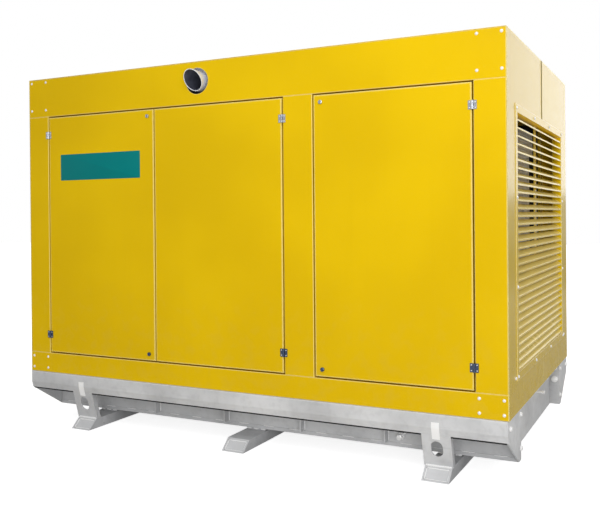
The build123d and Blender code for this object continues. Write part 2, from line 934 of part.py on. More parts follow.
# Radiator behind the right-hand louvres, with header tanks and a fan shroud on its engine side
with BuildPart() as radiator:
    with Locations((radiator_face, 0, base_top)):
        Box(radiator_depth, radiator_width, radiator_height, align=(Align.MAX, Align.CENTER, Align.MIN))
    core_width = radiator_width - 2 * radiator_border
    core_height = radiator_height - 2 * radiator_border
    with Locations((radiator_face, 0, base_top + radiator_height / 2)):
        Box(2 * radiator_recess, core_width, core_height, mode=Mode.SUBTRACT)
    for level, rest in ((base_top, Align.MIN), (base_top + radiator_height, Align.MAX)):
        with Locations((radiator_face + header_proud, 0, level)):
            Box(
                radiator_depth + 2 * header_proud,
                radiator_width,
                header_height,
                align=(Align.MAX, Align.CENTER, rest),
            )
    with BuildSketch(Plane.YZ.offset(radiator_face - radiator_depth)):
        with Locations((0, fan_level)):
            RegularPolygon(shroud_radius, shroud_sides)
            RegularPolygon(shroud_radius - shroud_wall, shroud_sides, mode=Mode.SUBTRACT)
    extrude(amount=-shroud_depth)
save(radiator.part, "radiator")

# Control cabinet on a stand, with its own door, behind the left door
with BuildPart() as control_cabinet:
    cabinet_place = cabinet_offset + cabinet_width / 2 - half_length
    cabinet_line = cabinet_setback + cabinet_depth / 2 - half_width
    with Locations((cabinet_place, cabinet_line, base_top + cabinet_stand)):
        Box(cabinet_width, cabinet_depth, cabinet_height, align=(Align.CENTER, Align.CENTER, Align.MIN))
    fillet(control_cabinet.edges().filter_by(Axis.Z), cabinet_round)
    cabinet_middle = base_top + cabinet_stand + cabinet_height / 2
    with Locations((cabinet_place, cabinet_line - cabinet_depth / 2, cabinet_middle)):
        Box(
            cabinet_width - 2 * cabinet_door_border,
            cabinet_door_sheet,
            cabinet_height - 2 * cabinet_door_border,
            align=(Align.CENTER, Align.MAX, Align.CENTER),
        )
    with Locations((cabinet_place, cabinet_line, base_top)):
        with GridLocations(cabinet_width - cabinet_leg, cabinet_depth - cabinet_leg, 2, 2):
            Box(cabinet_leg, cabinet_leg, cabinet_stand, align=(Align.CENTER, Align.CENTER, Align.MIN))
save(control_cabinet.part, "control_cabinet")
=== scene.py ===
"""Looks of an enclosed diesel generator: finishes, fasteners, seals, linings and inner fittings.

Every length is in metres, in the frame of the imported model: X runs along the doors, the jointed
doors face -Y, and Z = 0 is the ground under the skids.
"""
import logging
import math
from dataclasses import dataclass, replace
from enum import Enum
from itertools import product
from typing import Any, Callable, Iterable, Mapping, Optional, Sequence, Union

import bmesh
import bpy
import numpy as np
from mathutils import Matrix, Vector


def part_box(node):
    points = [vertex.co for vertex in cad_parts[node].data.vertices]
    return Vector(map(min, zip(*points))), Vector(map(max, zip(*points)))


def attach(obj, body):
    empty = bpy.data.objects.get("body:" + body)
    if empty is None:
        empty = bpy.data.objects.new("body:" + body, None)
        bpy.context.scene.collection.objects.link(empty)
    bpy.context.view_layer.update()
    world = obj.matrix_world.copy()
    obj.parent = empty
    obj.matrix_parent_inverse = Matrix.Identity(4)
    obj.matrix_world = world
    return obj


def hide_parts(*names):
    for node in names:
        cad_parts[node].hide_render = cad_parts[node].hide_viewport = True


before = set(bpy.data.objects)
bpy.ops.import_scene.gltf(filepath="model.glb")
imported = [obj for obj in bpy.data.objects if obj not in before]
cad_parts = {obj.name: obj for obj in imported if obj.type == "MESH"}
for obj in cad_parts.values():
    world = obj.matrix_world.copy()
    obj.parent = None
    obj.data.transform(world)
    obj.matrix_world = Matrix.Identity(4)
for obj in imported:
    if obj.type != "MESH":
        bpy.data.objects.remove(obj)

LOG = logging.getLogger("generator")
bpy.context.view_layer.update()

Triple = tuple[float, float, float]
Point = Sequence[float]
Rings = tuple[tuple[float, ...], ...]

TURN = 2.0 * math.pi
RIGHT, FRONT, UP = Vector((1.0, 0.0, 0.0)), Vector((0.0, -1.0, 0.0)), Vector((0.0, 0.0, 1.0))
LEFT, REAR, DOWN = -RIGHT, -FRONT, -UP
WAYS = (-1.0, 1.0)
SIDES = {"left": -1.0, "right": 1.0}
FACES = {"front": -1.0, "rear": 1.0}
ROW = ("left", "middle", "right")


class Body(Enum):
    """Bodies of the frame that pieces ride on."""

    CANOPY = "canopy_and_base"
    LEFT = "left_leaf"
    MIDDLE = "middle_leaf"
    RIGHT = "right_leaf"


class Slot(Enum):
    """Material slots of the record."""

    YELLOW = "yellow_paint"
    GREY = "grey_base"
    ZINC = "zinc_hardware"
    FOAM = "foam_lining"
    STAINLESS = "stainless_steel"
    COLLAR = "black_collar"
    EXHAUST = "exhaust_steel"
    ENGINE = "engine_paint"
    ALTERNATOR = "alternator_paint"
    FINS = "radiator_fins"
    CABINET = "cabinet_paint"


class Head(Enum):
    """Kinds of screw head, as rings of radius, height and, where not round, corners, in screw radii."""

    BUTTON = (
        (1.18, 0.0), (1.18, 0.16), (1.02, 0.22), (1.0, 0.34), (0.86, 0.56),
        (0.62, 0.70), (0.44, 0.74), (0.36, 0.74, 6), (0.35, 0.36, 6), (0.0, 0.34),
    )
    HEX = (
        (1.30, 0.0), (1.30, 0.18), (1.22, 0.22), (1.0, 0.22, 6), (1.0, 0.82, 6), (0.86, 0.92), (0.0, 0.94),
    )
    COUNTERSUNK = (
        (1.0, 0.0), (0.98, 0.10), (0.80, 0.15), (0.40, 0.16), (0.34, 0.16, 6), (0.30, 0.04, 6), (0.0, 0.02),
    )


def math_node(operation: str, swapped: bool = False) -> Callable[["Signal", "Operand"], "Signal"]:
    """Make an operator of Signal.

    Args:
        operation: Operation of the Math node.
        swapped: The other value comes first.

    Returns:
        The method that adds the node.
    """
    def method(self: "Signal", other: "Operand") -> "Signal":
        """Join two values in a Math node."""
        pair = (other, self) if swapped else (self, other)
        return self.graph.node("ShaderNodeMath", {"operation": operation}, dict(enumerate(pair)))

    return method


class Signal:
    """A shader socket that takes part in Python arithmetic."""

    __add__, __radd__ = math_node("ADD"), math_node("ADD", True)
    __sub__, __rsub__ = math_node("SUBTRACT"), math_node("SUBTRACT", True)
    __mul__, __rmul__ = math_node("MULTIPLY"), math_node("MULTIPLY", True)
    larger = math_node("MAXIMUM")

    def __init__(self, graph: "Graph", socket: Optional[bpy.types.NodeSocket]) -> None:
        """Wrap one output socket of a graph."""
        self.graph = graph
        self.socket = socket

    def wave(self) -> "Signal":
        """Sine of this value, from 0 to 1."""
        return self.graph.node("ShaderNodeMath", {"operation": "SINE"}, {0: self}) * 0.5 + 0.5

    def rise(self, low: float, high: float) -> "Signal":
        """Smooth step from 0 at low to 1 at high."""
        inputs = {"Value": self, "From Min": low, "From Max": high}
        return self.graph.node("ShaderNodeMapRange", {"interpolation_type": "SMOOTHSTEP"}, inputs)


Operand = Union[Signal, float]
Tone = Union[Signal, Triple]


class Graph:
    """A node tree that is written as expressions."""

    def __init__(self, tree: bpy.types.NodeTree) -> None:
        """Empty the tree and start a new graph in it."""
        self.tree = tree
        tree.nodes.clear()

    def node(
        self,
        kind: str,
        settings: Mapping[str, Any],
        inputs: Mapping[Union[int, str], Any],
        output: Union[int, str] = 0,
    ) -> Signal:
        """Add a node.

        Args:
            kind: Type name of the node.
            settings: Properties that are set before the sockets.
            inputs: Values or signals of the input sockets, by name or number.
            output: The output socket that is wanted, by name or number.

        Returns:
            The wanted output as a signal.
        """
        made = self.tree.nodes.new(kind)
        for key, value in settings.items():
            setattr(made, key, value)
        for key, value in inputs.items():
            if isinstance(value, Signal):
                self.tree.links.new(value.socket, made.inputs[key])
            else:
                made.inputs[key].default_value = value
        return Signal(self, made.outputs[output] if len(made.outputs) else None)

    def vector(self, operation: str, first: Signal, second: Any = None, output: str = "Vector") -> Signal:
        """Add a Vector Math node of one or two vectors."""
        inputs = {0: first} if second is None else {0: first, 1: second}
        return self.node("ShaderNodeVectorMath", {"operation": operation}, inputs, output)

    def place(self) -> Signal:
        """Coordinates of the piece itself, which move with it."""
        return self.node("ShaderNodeTexCoord", {}, {}, "Object")

    def part(self, vector: Signal, axis: str) -> Signal:
        """One coordinate, X, Y or Z, of a vector."""
        return self.node("ShaderNodeSeparateXYZ", {}, {0: vector}, axis)

    def along(self, axis: str) -> Signal:
        """One coordinate, X, Y or Z, of the place on the piece."""
        return self.part(self.place(), axis)

    def noise(self, scale: float, detail: float = 3.0, stretch: Triple = (1.0, 1.0, 1.0)) -> Signal:
        """Fractal noise over the piece.

        Args:
            scale: Waves in a metre.
            detail: Octaves of finer waves.
            stretch: Factors on the three coordinates.

        Returns:
            A value about 0.5.
        """
        vector = self.vector("MULTIPLY", self.place(), stretch)
        return self.node("ShaderNodeTexNoise", {}, {"Vector": vector, "Scale": scale, "Detail": detail})

    def cells(self, scale: float, output: str = "Distance") -> Signal:
        """Cells over the piece: the distance from each cell's middle, or its own random tone."""
        return self.node("ShaderNodeTexVoronoi", {}, {"Vector": self.place(), "Scale": scale}, output)

    def mix(self, factor: Operand, first: Tone, second: Tone) -> Signal:
        """Mix two colours.

        Args:
            factor: Share of the second colour.
            first: Colour or signal at 0.
            second: Colour or signal at 1.

        Returns:
            The mixed colour.
        """
        tones = [tone if isinstance(tone, Signal) else (*tone, 1.0) for tone in (first, second)]
        return self.node("ShaderNodeMix", {"data_type": "RGBA"}, {0: factor, 6: tones[0], 7: tones[1]}, 2)

    def rounded(self, radius: float) -> Signal:
        """Normal that rounds sharp edges off by a radius."""
        return self.node("ShaderNodeBevel", {"samples": 4}, {"Radius": radius}, "Normal")

    def edges(self, radius: float) -> Signal:
        """Mask that is 1 on sharp edges and 0 on flats."""
        flat = self.node("ShaderNodeNewGeometry", {}, {}, "True Normal")
        return (1.0 - self.vector("DOT_PRODUCT", self.rounded(radius), flat, "Value")).rise(0.02, 0.22)

    def faces(self, axis: str) -> Signal:
        """How far the surface looks along an axis, from 0 to 1."""
        normal = self.node("ShaderNodeTexCoord", {}, {}, "Normal")
        return self.part(self.vector("ABSOLUTE", normal), axis)

    def folds(self) -> Signal:
        """Mask that is 1 on bent and rounded edges and 0 on upright or level flats."""
        largest = self.faces("X").larger(self.faces("Y")).larger(self.faces("Z"))
        return (1.0 - largest).rise(0.03, 0.20)

    def crevices(self, reach: float) -> Signal:
        """Mask that is 1 in corners and under ledges."""
        open_share = self.node("ShaderNodeAmbientOcclusion", {"samples": 6}, {"Distance": reach}, "AO")
        return (1.0 - open_share).rise(0.15, 0.85)

    def relief(self, height: Signal, depth: float, rounding: float) -> Signal:
        """Normal of a relief on rounded edges.

        Args:
            height: Relief from 0 to 1.
            depth: Depth of the relief in metres.
            rounding: Radius that sharp edges are rounded by.

        Returns:
            The bent normal.
        """
        inputs = {"Height": height, "Distance": depth, "Normal": self.rounded(rounding)}
        return self.node("ShaderNodeBump", {}, inputs, "Normal")

    def surface(
        self, tone: Signal, roughness: Signal, normal: Signal, metallic: Operand = 0.0, specular: float = 0.5
    ) -> None:
        """End the graph in a principled surface.

        Args:
            tone: Its colour.
            roughness: Its roughness.
            normal: Its bent normal.
            metallic: How metallic it is.
            specular: Strength of its shine.
        """
        shader = self.node("ShaderNodeBsdfPrincipled", {}, {
            "Base Color": tone, "Roughness": roughness, "Normal": normal,
            "Metallic": metallic, "Specular IOR Level": specular,
        })
        self.node("ShaderNodeOutputMaterial", {}, {"Surface": shader})


@dataclass(frozen=True)
class Finish:
    """A named finish that can be put on pieces, with the record's slot that it mostly stands for."""

    name: str
    slot: Slot

    def paint(self, graph: Graph) -> None:
        """Write the finish into a graph."""
        raise NotImplementedError

    def material(self) -> bpy.types.Material:
        """Make the finish's material at its first use.

        Returns:
            The material, the same one at every use.
        """
        known = bpy.data.materials.get(self.name)
        if known is None:
            known = bpy.data.materials.new(self.name)
            known.use_nodes = True
            self.paint(Graph(known.node_tree))
        return known


@dataclass(frozen=True)
class PowderCoat(Finish):
    """Baked powder coat on sheet steel: orange peel, faint clouds, run-off streaks and dust low down, with
    painted shade on faces that look along X and painted highlights on edges and folds.
    """

    colour: Triple
    deep: Triple
    # ends: darker tone of faces that look along X, a painted shade
    ends: Triple
    # edge: pale tone painted on edges and folds as a highlight, also used for fine specks
    edge: Triple
    dust: Triple
    roughness: float
    specular: float
    dust_share: float
    edge_highlight_width: float = 0.006

    def paint(self, graph: Graph) -> None:
        """Write the coat into a graph.

        Args:
            graph: Empty graph of the material.
        """
        clouds = graph.noise(1.3, 2.0)
        mottle = graph.noise(14.0, 4.0)
        streaks = graph.noise(1.0, 5.0, (16.0, 16.0, 0.6))
        specks = graph.noise(420.0, 2.0)
        dust = (1.0 - graph.along("Z").rise(0.28, 1.05)) * mottle.rise(0.40, 0.72)
        tone = graph.mix(clouds.rise(0.32, 0.68), self.colour, self.deep)
        tone = graph.mix(streaks.rise(0.52, 0.78) * 0.22, tone, self.deep)
        # Painted shade: faces that look along X take the darker ends tone.
        tone = graph.mix(graph.faces("X").rise(0.80, 0.97) * (0.88 + clouds * 0.12), tone, self.ends)
        tone = graph.mix(specks.rise(0.62, 0.74) * 0.12, tone, self.edge)
        tone = graph.mix(dust * self.dust_share, tone, self.dust)
        # Painted highlight: sharp edges and rounded folds take the pale edge tone.
        tone = graph.mix(graph.edges(self.edge_highlight_width).larger(graph.folds() * 0.70), tone, self.edge)
        roughness = self.roughness + (mottle - 0.5) * 0.10 + dust * 0.12
        peel = graph.noise(300.0, 1.0) * 0.7 + clouds * 0.3
        graph.surface(tone, roughness, graph.relief(peel, 0.00035, 0.0025), specular=self.specular)


@dataclass(frozen=True)
class WeldedPaint(Finish):
    """Thick brushed paint on welded plate: roller texture, spatter, dirt blotches, scuffs and rust low down,
    painted shade in corners and painted highlights on edges.
    """

    colour: Triple
    # pale: paler tone of clouds and spatter, also a painted highlight on edges
    pale: Triple
    grime_and_shade: Triple
    bare: Triple
    rust: Triple
    roughness: float

    def paint(self, graph: Graph) -> None:
        """Write the paint into a graph.

        Args:
            graph: Empty graph of the material.
        """
        clouds = graph.noise(3.1, 3.0)
        mottle = graph.noise(28.0, 5.0)
        scuffs = graph.noise(5.0, 6.0, (1.0, 6.0, 9.0))
        spatter = 1.0 - graph.cells(90.0).rise(0.03, 0.16)
        spots = spatter * graph.noise(11.0, 2.0).rise(0.56, 0.66)
        crevices = graph.crevices(0.09)
        edges = graph.edges(0.008).larger(graph.folds() * 0.6)
        low = 1.0 - graph.along("Z").rise(0.0, 0.09)
        tone = graph.mix(clouds.rise(0.3, 0.7), self.colour, self.pale)
        tone = graph.mix(mottle.rise(0.45, 0.75) * 0.16, tone, self.grime_and_shade)
        # Painted shade: corners and the web under ledges are darkened towards the dark tone.
        tone = graph.mix(crevices * 0.42, tone, self.grime_and_shade)
        tone = graph.mix(scuffs.rise(0.60, 0.72) * (0.18 + low * 0.5), tone, self.bare)
        tone = graph.mix(graph.noise(37.0, 4.0).rise(0.70, 0.78) * (0.12 + low * 0.6), tone, self.rust)
        # Painted highlight: sharp edges and folds take the pale tone; the spatter spots take it as their own
        # colour.
        tone = graph.mix((edges * 0.75).larger(spots * 0.5), tone, self.pale)
        roughness = self.roughness + (mottle - 0.5) * 0.2 + crevices * 0.15
        relief = graph.noise(170.0, 3.0) * 0.6 + spots * 0.6 + clouds * 0.4
        graph.surface(tone, roughness, graph.relief(relief, 0.0007, 0.003), specular=0.35)


@dataclass(frozen=True)
class PlatedSteel(Finish):
    """Zinc-plated steel: bright and lightly spangled, with painted shade in its corners and, low down, a
    painted reflection of the ground.
    """

    bright: Triple
    dull: Triple
    # low: tone taken low down, a painted reflection of the ground
    low: Triple
    roughness: float
    metallic: float

    def paint(self, graph: Graph) -> None:
        """Write the plating into a graph.

        Args:
            graph: Empty graph of the material.
        """
        spangle = graph.part(graph.cells(160.0, "Color"), "X")
        stain = graph.noise(60.0, 4.0)
        brushed = graph.noise(500.0, 2.0, (1.0, 1.0, 0.15))
        crevices = graph.crevices(0.012)
        tone = graph.mix(spangle * 0.25 + stain.rise(0.4, 0.7) * 0.25, self.bright, self.dull)
        # Painted shade: corners are darkened to the dull tone.
        tone = graph.mix(crevices * 0.6, tone, self.dull)
        # Painted reflection: low down the tone turns to the low tone, dark on the hinges as the ground
        # mirrored in them.
        tone = graph.mix(graph.along("Z").rise(0.55, 1.60), self.low, tone)
        roughness = self.roughness + (stain - 0.5) * 0.2 + crevices * 0.2
        graph.surface(tone, roughness, graph.relief(brushed, 0.00006, 0.0007), self.metallic)


@dataclass(frozen=True)
class HotPipe(Finish):
    """Stainless exhaust pipe: drawn lines round it, straw and blue heat tint, and a sooty bore that is also
    painted shade.
    """

    steel: Triple
    straw: Triple
    blue: Triple
    soot_and_shade: Triple
    middle: Triple
    bore: float
    mouth: float

    def paint(self, graph: Graph) -> None:
        """Write the pipe into a graph.

        Args:
            graph: Empty graph of the material.
        """
        offset = graph.vector("SUBTRACT", graph.place(), self.middle)
        radius = graph.vector("LENGTH", graph.vector("MULTIPLY", offset, (1.0, 0.0, 1.0)), None, "Value")
        inside = 1.0 - radius.rise(self.bore + 0.0008, self.bore + 0.0016)
        drawn = graph.noise(900.0, 2.0, (0.05, 1.0, 0.05))
        cloud = graph.noise(24.0, 4.0)
        heat = 1.0 - (graph.along("Y") + (cloud - 0.5) * 0.05).rise(self.mouth, self.mouth + 0.09)
        tone = graph.mix(cloud.rise(0.35, 0.7) * 0.35, self.steel, self.straw)
        tone = graph.mix(heat * 0.30, tone, self.blue)
        # Inside the bore the tone turns near black: sooting, and painted shade.
        tone = graph.mix(inside * (0.86 + cloud * 0.14), tone, self.soot_and_shade)
        roughness = 0.20 + drawn * 0.12 + inside * 0.5
        graph.surface(tone, roughness, graph.relief(drawn, 0.00008, 0.0008), (1.0 - inside) * 0.2)


@dataclass(frozen=True)
class HalfShadowedSleeve(Finish):
    """Galvanised sleeve round a hot pipe: spangled above, and near black below a level as painted shadow in
    the hole round the pipe.
    """

    zinc: Triple
    soot_and_shade: Triple
    level: float

    def paint(self, graph: Graph) -> None:
        """Write the sleeve into a graph.

        Args:
            graph: Empty graph of the material.
        """
        cloud = graph.noise(40.0, 4.0)
        spangle = graph.part(graph.cells(120.0, "Color"), "X")
        # Painted shadow: below the level the sleeve turns near black.
        unshaded = (graph.along("Z") + (cloud - 0.5) * 0.04).rise(self.level - 0.020, self.level + 0.030)
        tone = graph.mix(unshaded * (0.80 + spangle * 0.20), self.soot_and_shade, self.zinc)
        graph.surface(tone, 0.70 - unshaded * 0.35, graph.relief(cloud, 0.0003, 0.0008), unshaded * 0.15)


@dataclass(frozen=True)
class Elastomer(Finish):
    """Black rubber or dark foam: matt, grainy and pale where it is rubbed."""

    colour: Triple
    rubbed: Triple
    grain: float
    depth: float

    def paint(self, graph: Graph) -> None:
        """Write the rubber into a graph.

        Args:
            graph: Empty graph of the material.
        """
        grain = graph.noise(self.grain, 5.0)
        bloom = graph.noise(18.0, 3.0)
        pores = graph.cells(self.grain * 0.6)
        tone = graph.mix(bloom.rise(0.45, 0.75) * 0.45 + graph.edges(0.003) * 0.3, self.colour, self.rubbed)
        # Painted shade: the pits of the pores are darkened to near black.
        tone = graph.mix(pores.rise(0.0, 0.35), (0.004, 0.004, 0.004), tone)
        roughness = 0.72 + (grain - 0.5) * 0.3
        normal = graph.relief(grain * 0.6 + pores * 0.4, self.depth, 0.001)
        graph.surface(tone, roughness, normal, specular=0.3)


@dataclass(frozen=True)
class Enamel(Finish):
    """Engine enamel on castings: sand texture, dirt blotches, painted shade in corners, rubbed edges."""

    colour: Triple
    grime_and_shade: Triple
    rubbed: Triple
    roughness: float
    grain: float

    def paint(self, graph: Graph) -> None:
        """Write the enamel into a graph.

        Args:
            graph: Empty graph of the material.
        """
        cloud = graph.noise(9.0, 4.0)
        crevices = graph.crevices(0.06)
        tone = graph.mix(cloud.rise(0.35, 0.75) * 0.3, self.colour, self.grime_and_shade)
        # Painted shade: corners are darkened to the dark tone.
        tone = graph.mix(crevices * 0.7, tone, self.grime_and_shade)
        tone = graph.mix(graph.edges(0.003) * cloud.rise(0.4, 0.6) * 0.6, tone, self.rubbed)
        roughness = self.roughness + (cloud - 0.5) * 0.3 + crevices * 0.2
        graph.surface(tone, roughness, graph.relief(graph.noise(self.grain, 4.0), 0.0006, 0.003))


@dataclass(frozen=True)
class HeatedSteel(Finish):
    """Aluminised exhaust steel: dull grey, brown heat stains, a scaly skin and painted shade in its corners.
    """

    colour: Triple
    stain: Triple
    scale: Triple

    def paint(self, graph: Graph) -> None:
        """Write the steel into a graph.

        Args:
            graph: Empty graph of the material.
        """
        scale = graph.noise(75.0, 4.0)
        tone = graph.mix(graph.noise(6.0, 5.0).rise(0.4, 0.7) * 0.7, self.colour, self.stain)
        # Scaly patches take the scale tone, and corners take it too as painted shade.
        tone = graph.mix(scale.rise(0.56, 0.7) * 0.6 + graph.crevices(0.05) * 0.3, tone, self.scale)
        graph.surface(tone, 0.48 + (scale - 0.5) * 0.4, graph.relief(scale, 0.0005, 0.002), 0.6)


@dataclass(frozen=True)
class FinPack(Finish):
    """Cooler core: close upright fins and level tubes, with painted shade between them, dusty on the faces.
    """

    fin: Triple
    gap_shade: Triple
    dust: Triple
    fin_pitch: float
    tube_pitch: float

    def paint(self, graph: Graph) -> None:
        """Write the fins into a graph.

        Args:
            graph: Empty graph of the material.
        """
        fins = (graph.along("Y") * (TURN / self.fin_pitch)).wave()
        tubes = (graph.along("Z") * (TURN / self.tube_pitch)).wave().rise(0.6, 0.85)
        cloud = graph.noise(7.0, 5.0)
        relief = fins.larger(tubes)
        # Painted shade between the fins and tubes.
        tone = graph.mix(relief.rise(0.2, 0.8), self.gap_shade, self.fin)
        tone = graph.mix(cloud.rise(0.42, 0.72) * 0.5, tone, self.dust)
        graph.surface(tone, 0.46 + cloud * 0.25, graph.relief(relief, 0.002, 0.002), 0.1)


@dataclass(frozen=True)
class Film(Finish):
    """Printed vinyl film: even colour with a fine weave of print dots, faint creases and a soft shine."""

    colour: Triple
    faded: Triple
    roughness: float

    def paint(self, graph: Graph) -> None:
        """Write the film into a graph.

        Args:
            graph: Empty graph of the material.
        """
        fade = graph.noise(5.0, 3.0)
        creases = graph.noise(30.0, 3.0, (1.0, 1.0, 0.25))
        share = fade.rise(0.35, 0.75) * 0.5 + graph.cells(1500.0).rise(0.3, 0.7) * 0.1
        roughness = self.roughness + (fade - 0.5) * 0.15
        tone = graph.mix(share, self.colour, self.faded)
        graph.surface(tone, roughness, graph.relief(creases, 0.0004, 0.0005), specular=0.10)


YELLOW = PowderCoat(
    "yellow_powder_coat", Slot.YELLOW,
    colour=(0.830, 0.545, 0.0020), deep=(0.760, 0.490, 0.0018), ends=(0.700, 0.470, 0.0030),
    edge=(1.000, 0.900, 0.380), dust=(0.560, 0.430, 0.120),
    roughness=0.24, specular=0.06, dust_share=0.10,
)
# Copy of the yellow coat with wider painted highlights along the doors' edges.
DOOR_HIGHLIGHT_COAT = replace(YELLOW, name="yellow_coat_wide_door_highlight", edge_highlight_width=0.0105)
# Darker copy of the yellow coat for the end panels: painted shade.
END_SHADE_COAT = PowderCoat(
    "yellow_coat_painted_end_shade", Slot.YELLOW,
    colour=(0.600, 0.410, 0.0040), deep=(0.550, 0.375, 0.0036), ends=(0.600, 0.410, 0.0040),
    edge=(1.000, 0.900, 0.420), dust=(0.430, 0.350, 0.130),
    roughness=0.20, specular=0.13, dust_share=0.14,
)
# Brighter copy of the yellow for the louvre grilles: painted light inside the louvres; faces along X keep the
# end panels' painted shade.
GRILLE_LIT_COAT = replace(
    END_SHADE_COAT, name="yellow_coat_painted_grille_light",
    colour=(0.900, 0.640, 0.0060), deep=(0.860, 0.600, 0.0050),
    edge=(1.000, 0.930, 0.560), dust=(0.560, 0.430, 0.120), dust_share=0.10,
)
# The cabinet's coat also darkens faces along X as painted shade and paints pale highlights on its edges.
CABINET = PowderCoat(
    "cabinet_powder_coat", Slot.CABINET,
    colour=(0.600, 0.605, 0.585), deep=(0.540, 0.545, 0.528), ends=(0.590, 0.595, 0.576),
    edge=(0.740, 0.742, 0.725), dust=(0.400, 0.385, 0.350),
    roughness=0.42, specular=0.35, dust_share=0.25,
)
GREY = WeldedPaint(
    "grey_welded_paint", Slot.GREY,
    colour=(0.540, 0.545, 0.555), pale=(0.720, 0.725, 0.735), grime_and_shade=(0.255, 0.255, 0.258),
    bare=(0.400, 0.402, 0.408), rust=(0.300, 0.170, 0.090), roughness=0.46,
)
# Near-white copy of the grey base paint for the weld beads: painted highlight where the beads catch light.
WELD_HIGHLIGHT = WeldedPaint(
    "weld_bead_painted_highlight", Slot.GREY,
    colour=(0.880, 0.885, 0.890), pale=(0.970, 0.970, 0.970), grime_and_shade=(0.620, 0.620, 0.620),
    bare=(0.780, 0.780, 0.780), rust=(0.480, 0.380, 0.300), roughness=0.34,
)
# Near-white and barely metallic: painted reflection of the bright surroundings mirrored in the plating.
ZINC = PlatedSteel(
    "zinc_plated_steel", Slot.ZINC,
    bright=(0.97, 0.97, 0.96), dull=(0.76, 0.76, 0.75), low=(0.97, 0.97, 0.97), roughness=0.28, metallic=0.15,
)
# Bluish tint and dark low tone: painted reflections of the surroundings and of the ground.
HINGE_STEEL = PlatedSteel(
    "polished_hinge_steel", Slot.ZINC,
    bright=(0.66, 0.69, 0.76), dull=(0.24, 0.28, 0.36), low=(0.10, 0.14, 0.24), roughness=0.20, metallic=0.85,
)
# Bluish near-white lip: painted highlight along the pipe's rim.
LIP_HIGHLIGHT_STEEL = PlatedSteel(
    "lip_steel_painted_highlight", Slot.STAINLESS,
    bright=(0.90, 0.93, 1.00), dull=(0.76, 0.80, 0.92), low=(0.90, 0.93, 1.00), roughness=0.20, metallic=0.10,
)
RUBBER = Elastomer(
    "black_rubber", Slot.COLLAR,
    colour=(0.012, 0.012, 0.013), rubbed=(0.050, 0.050, 0.052), grain=700.0, depth=0.0003,
)
# Dark olive, the yellow in shade: painted shade along the end panels' seam.
SEAM_SHADE = Elastomer(
    "olive_seam_shade", Slot.COLLAR,
    colour=(0.210, 0.170, 0.050), rubbed=(0.300, 0.250, 0.090), grain=500.0, depth=0.0002,
)
FOAM = Elastomer(
    "charcoal_foam", Slot.FOAM,
    colour=(0.032, 0.033, 0.035), rubbed=(0.085, 0.087, 0.090), grain=420.0, depth=0.0012,
)
COLLAR = Elastomer(
    "black_collar_coat", Slot.COLLAR,
    colour=(0.018, 0.017, 0.016), rubbed=(0.060, 0.055, 0.050), grain=260.0, depth=0.0006,
)
ENGINE = Enamel(
    "engine_enamel", Slot.ENGINE,
    colour=(0.105, 0.150, 0.165), grime_and_shade=(0.030, 0.030, 0.028), rubbed=(0.330, 0.360, 0.360),
    roughness=0.42, grain=240.0,
)
ALTERNATOR = Enamel(
    "alternator_enamel", Slot.ALTERNATOR,
    colour=(0.060, 0.070, 0.085), grime_and_shade=(0.020, 0.020, 0.019), rubbed=(0.240, 0.245, 0.250),
    roughness=0.45, grain=260.0,
)
EXHAUST = HeatedSteel(
    "heated_exhaust_steel", Slot.EXHAUST,
    colour=(0.430, 0.420, 0.400), stain=(0.240, 0.160, 0.100), scale=(0.120, 0.085, 0.065),
)
# Fin, between-fin and dust tones are raised as painted light on the cooler seen through the louvres.
FINS = FinPack(
    "cooler_fins", Slot.FINS,
    fin=(0.850, 0.840, 0.830), gap_shade=(0.420, 0.410, 0.400), dust=(0.800, 0.775, 0.735),
    fin_pitch=0.004, tube_pitch=0.020,
)
TEAL_FILM = Film(
    "teal_film", Slot.YELLOW, colour=(0.000, 0.205, 0.205), faded=(0.002, 0.225, 0.215), roughness=0.32
)
WHITE_FILM = Film(
    "white_film", Slot.GREY, colour=(0.960, 0.960, 0.960), faded=(0.930, 0.930, 0.925), roughness=0.38
)


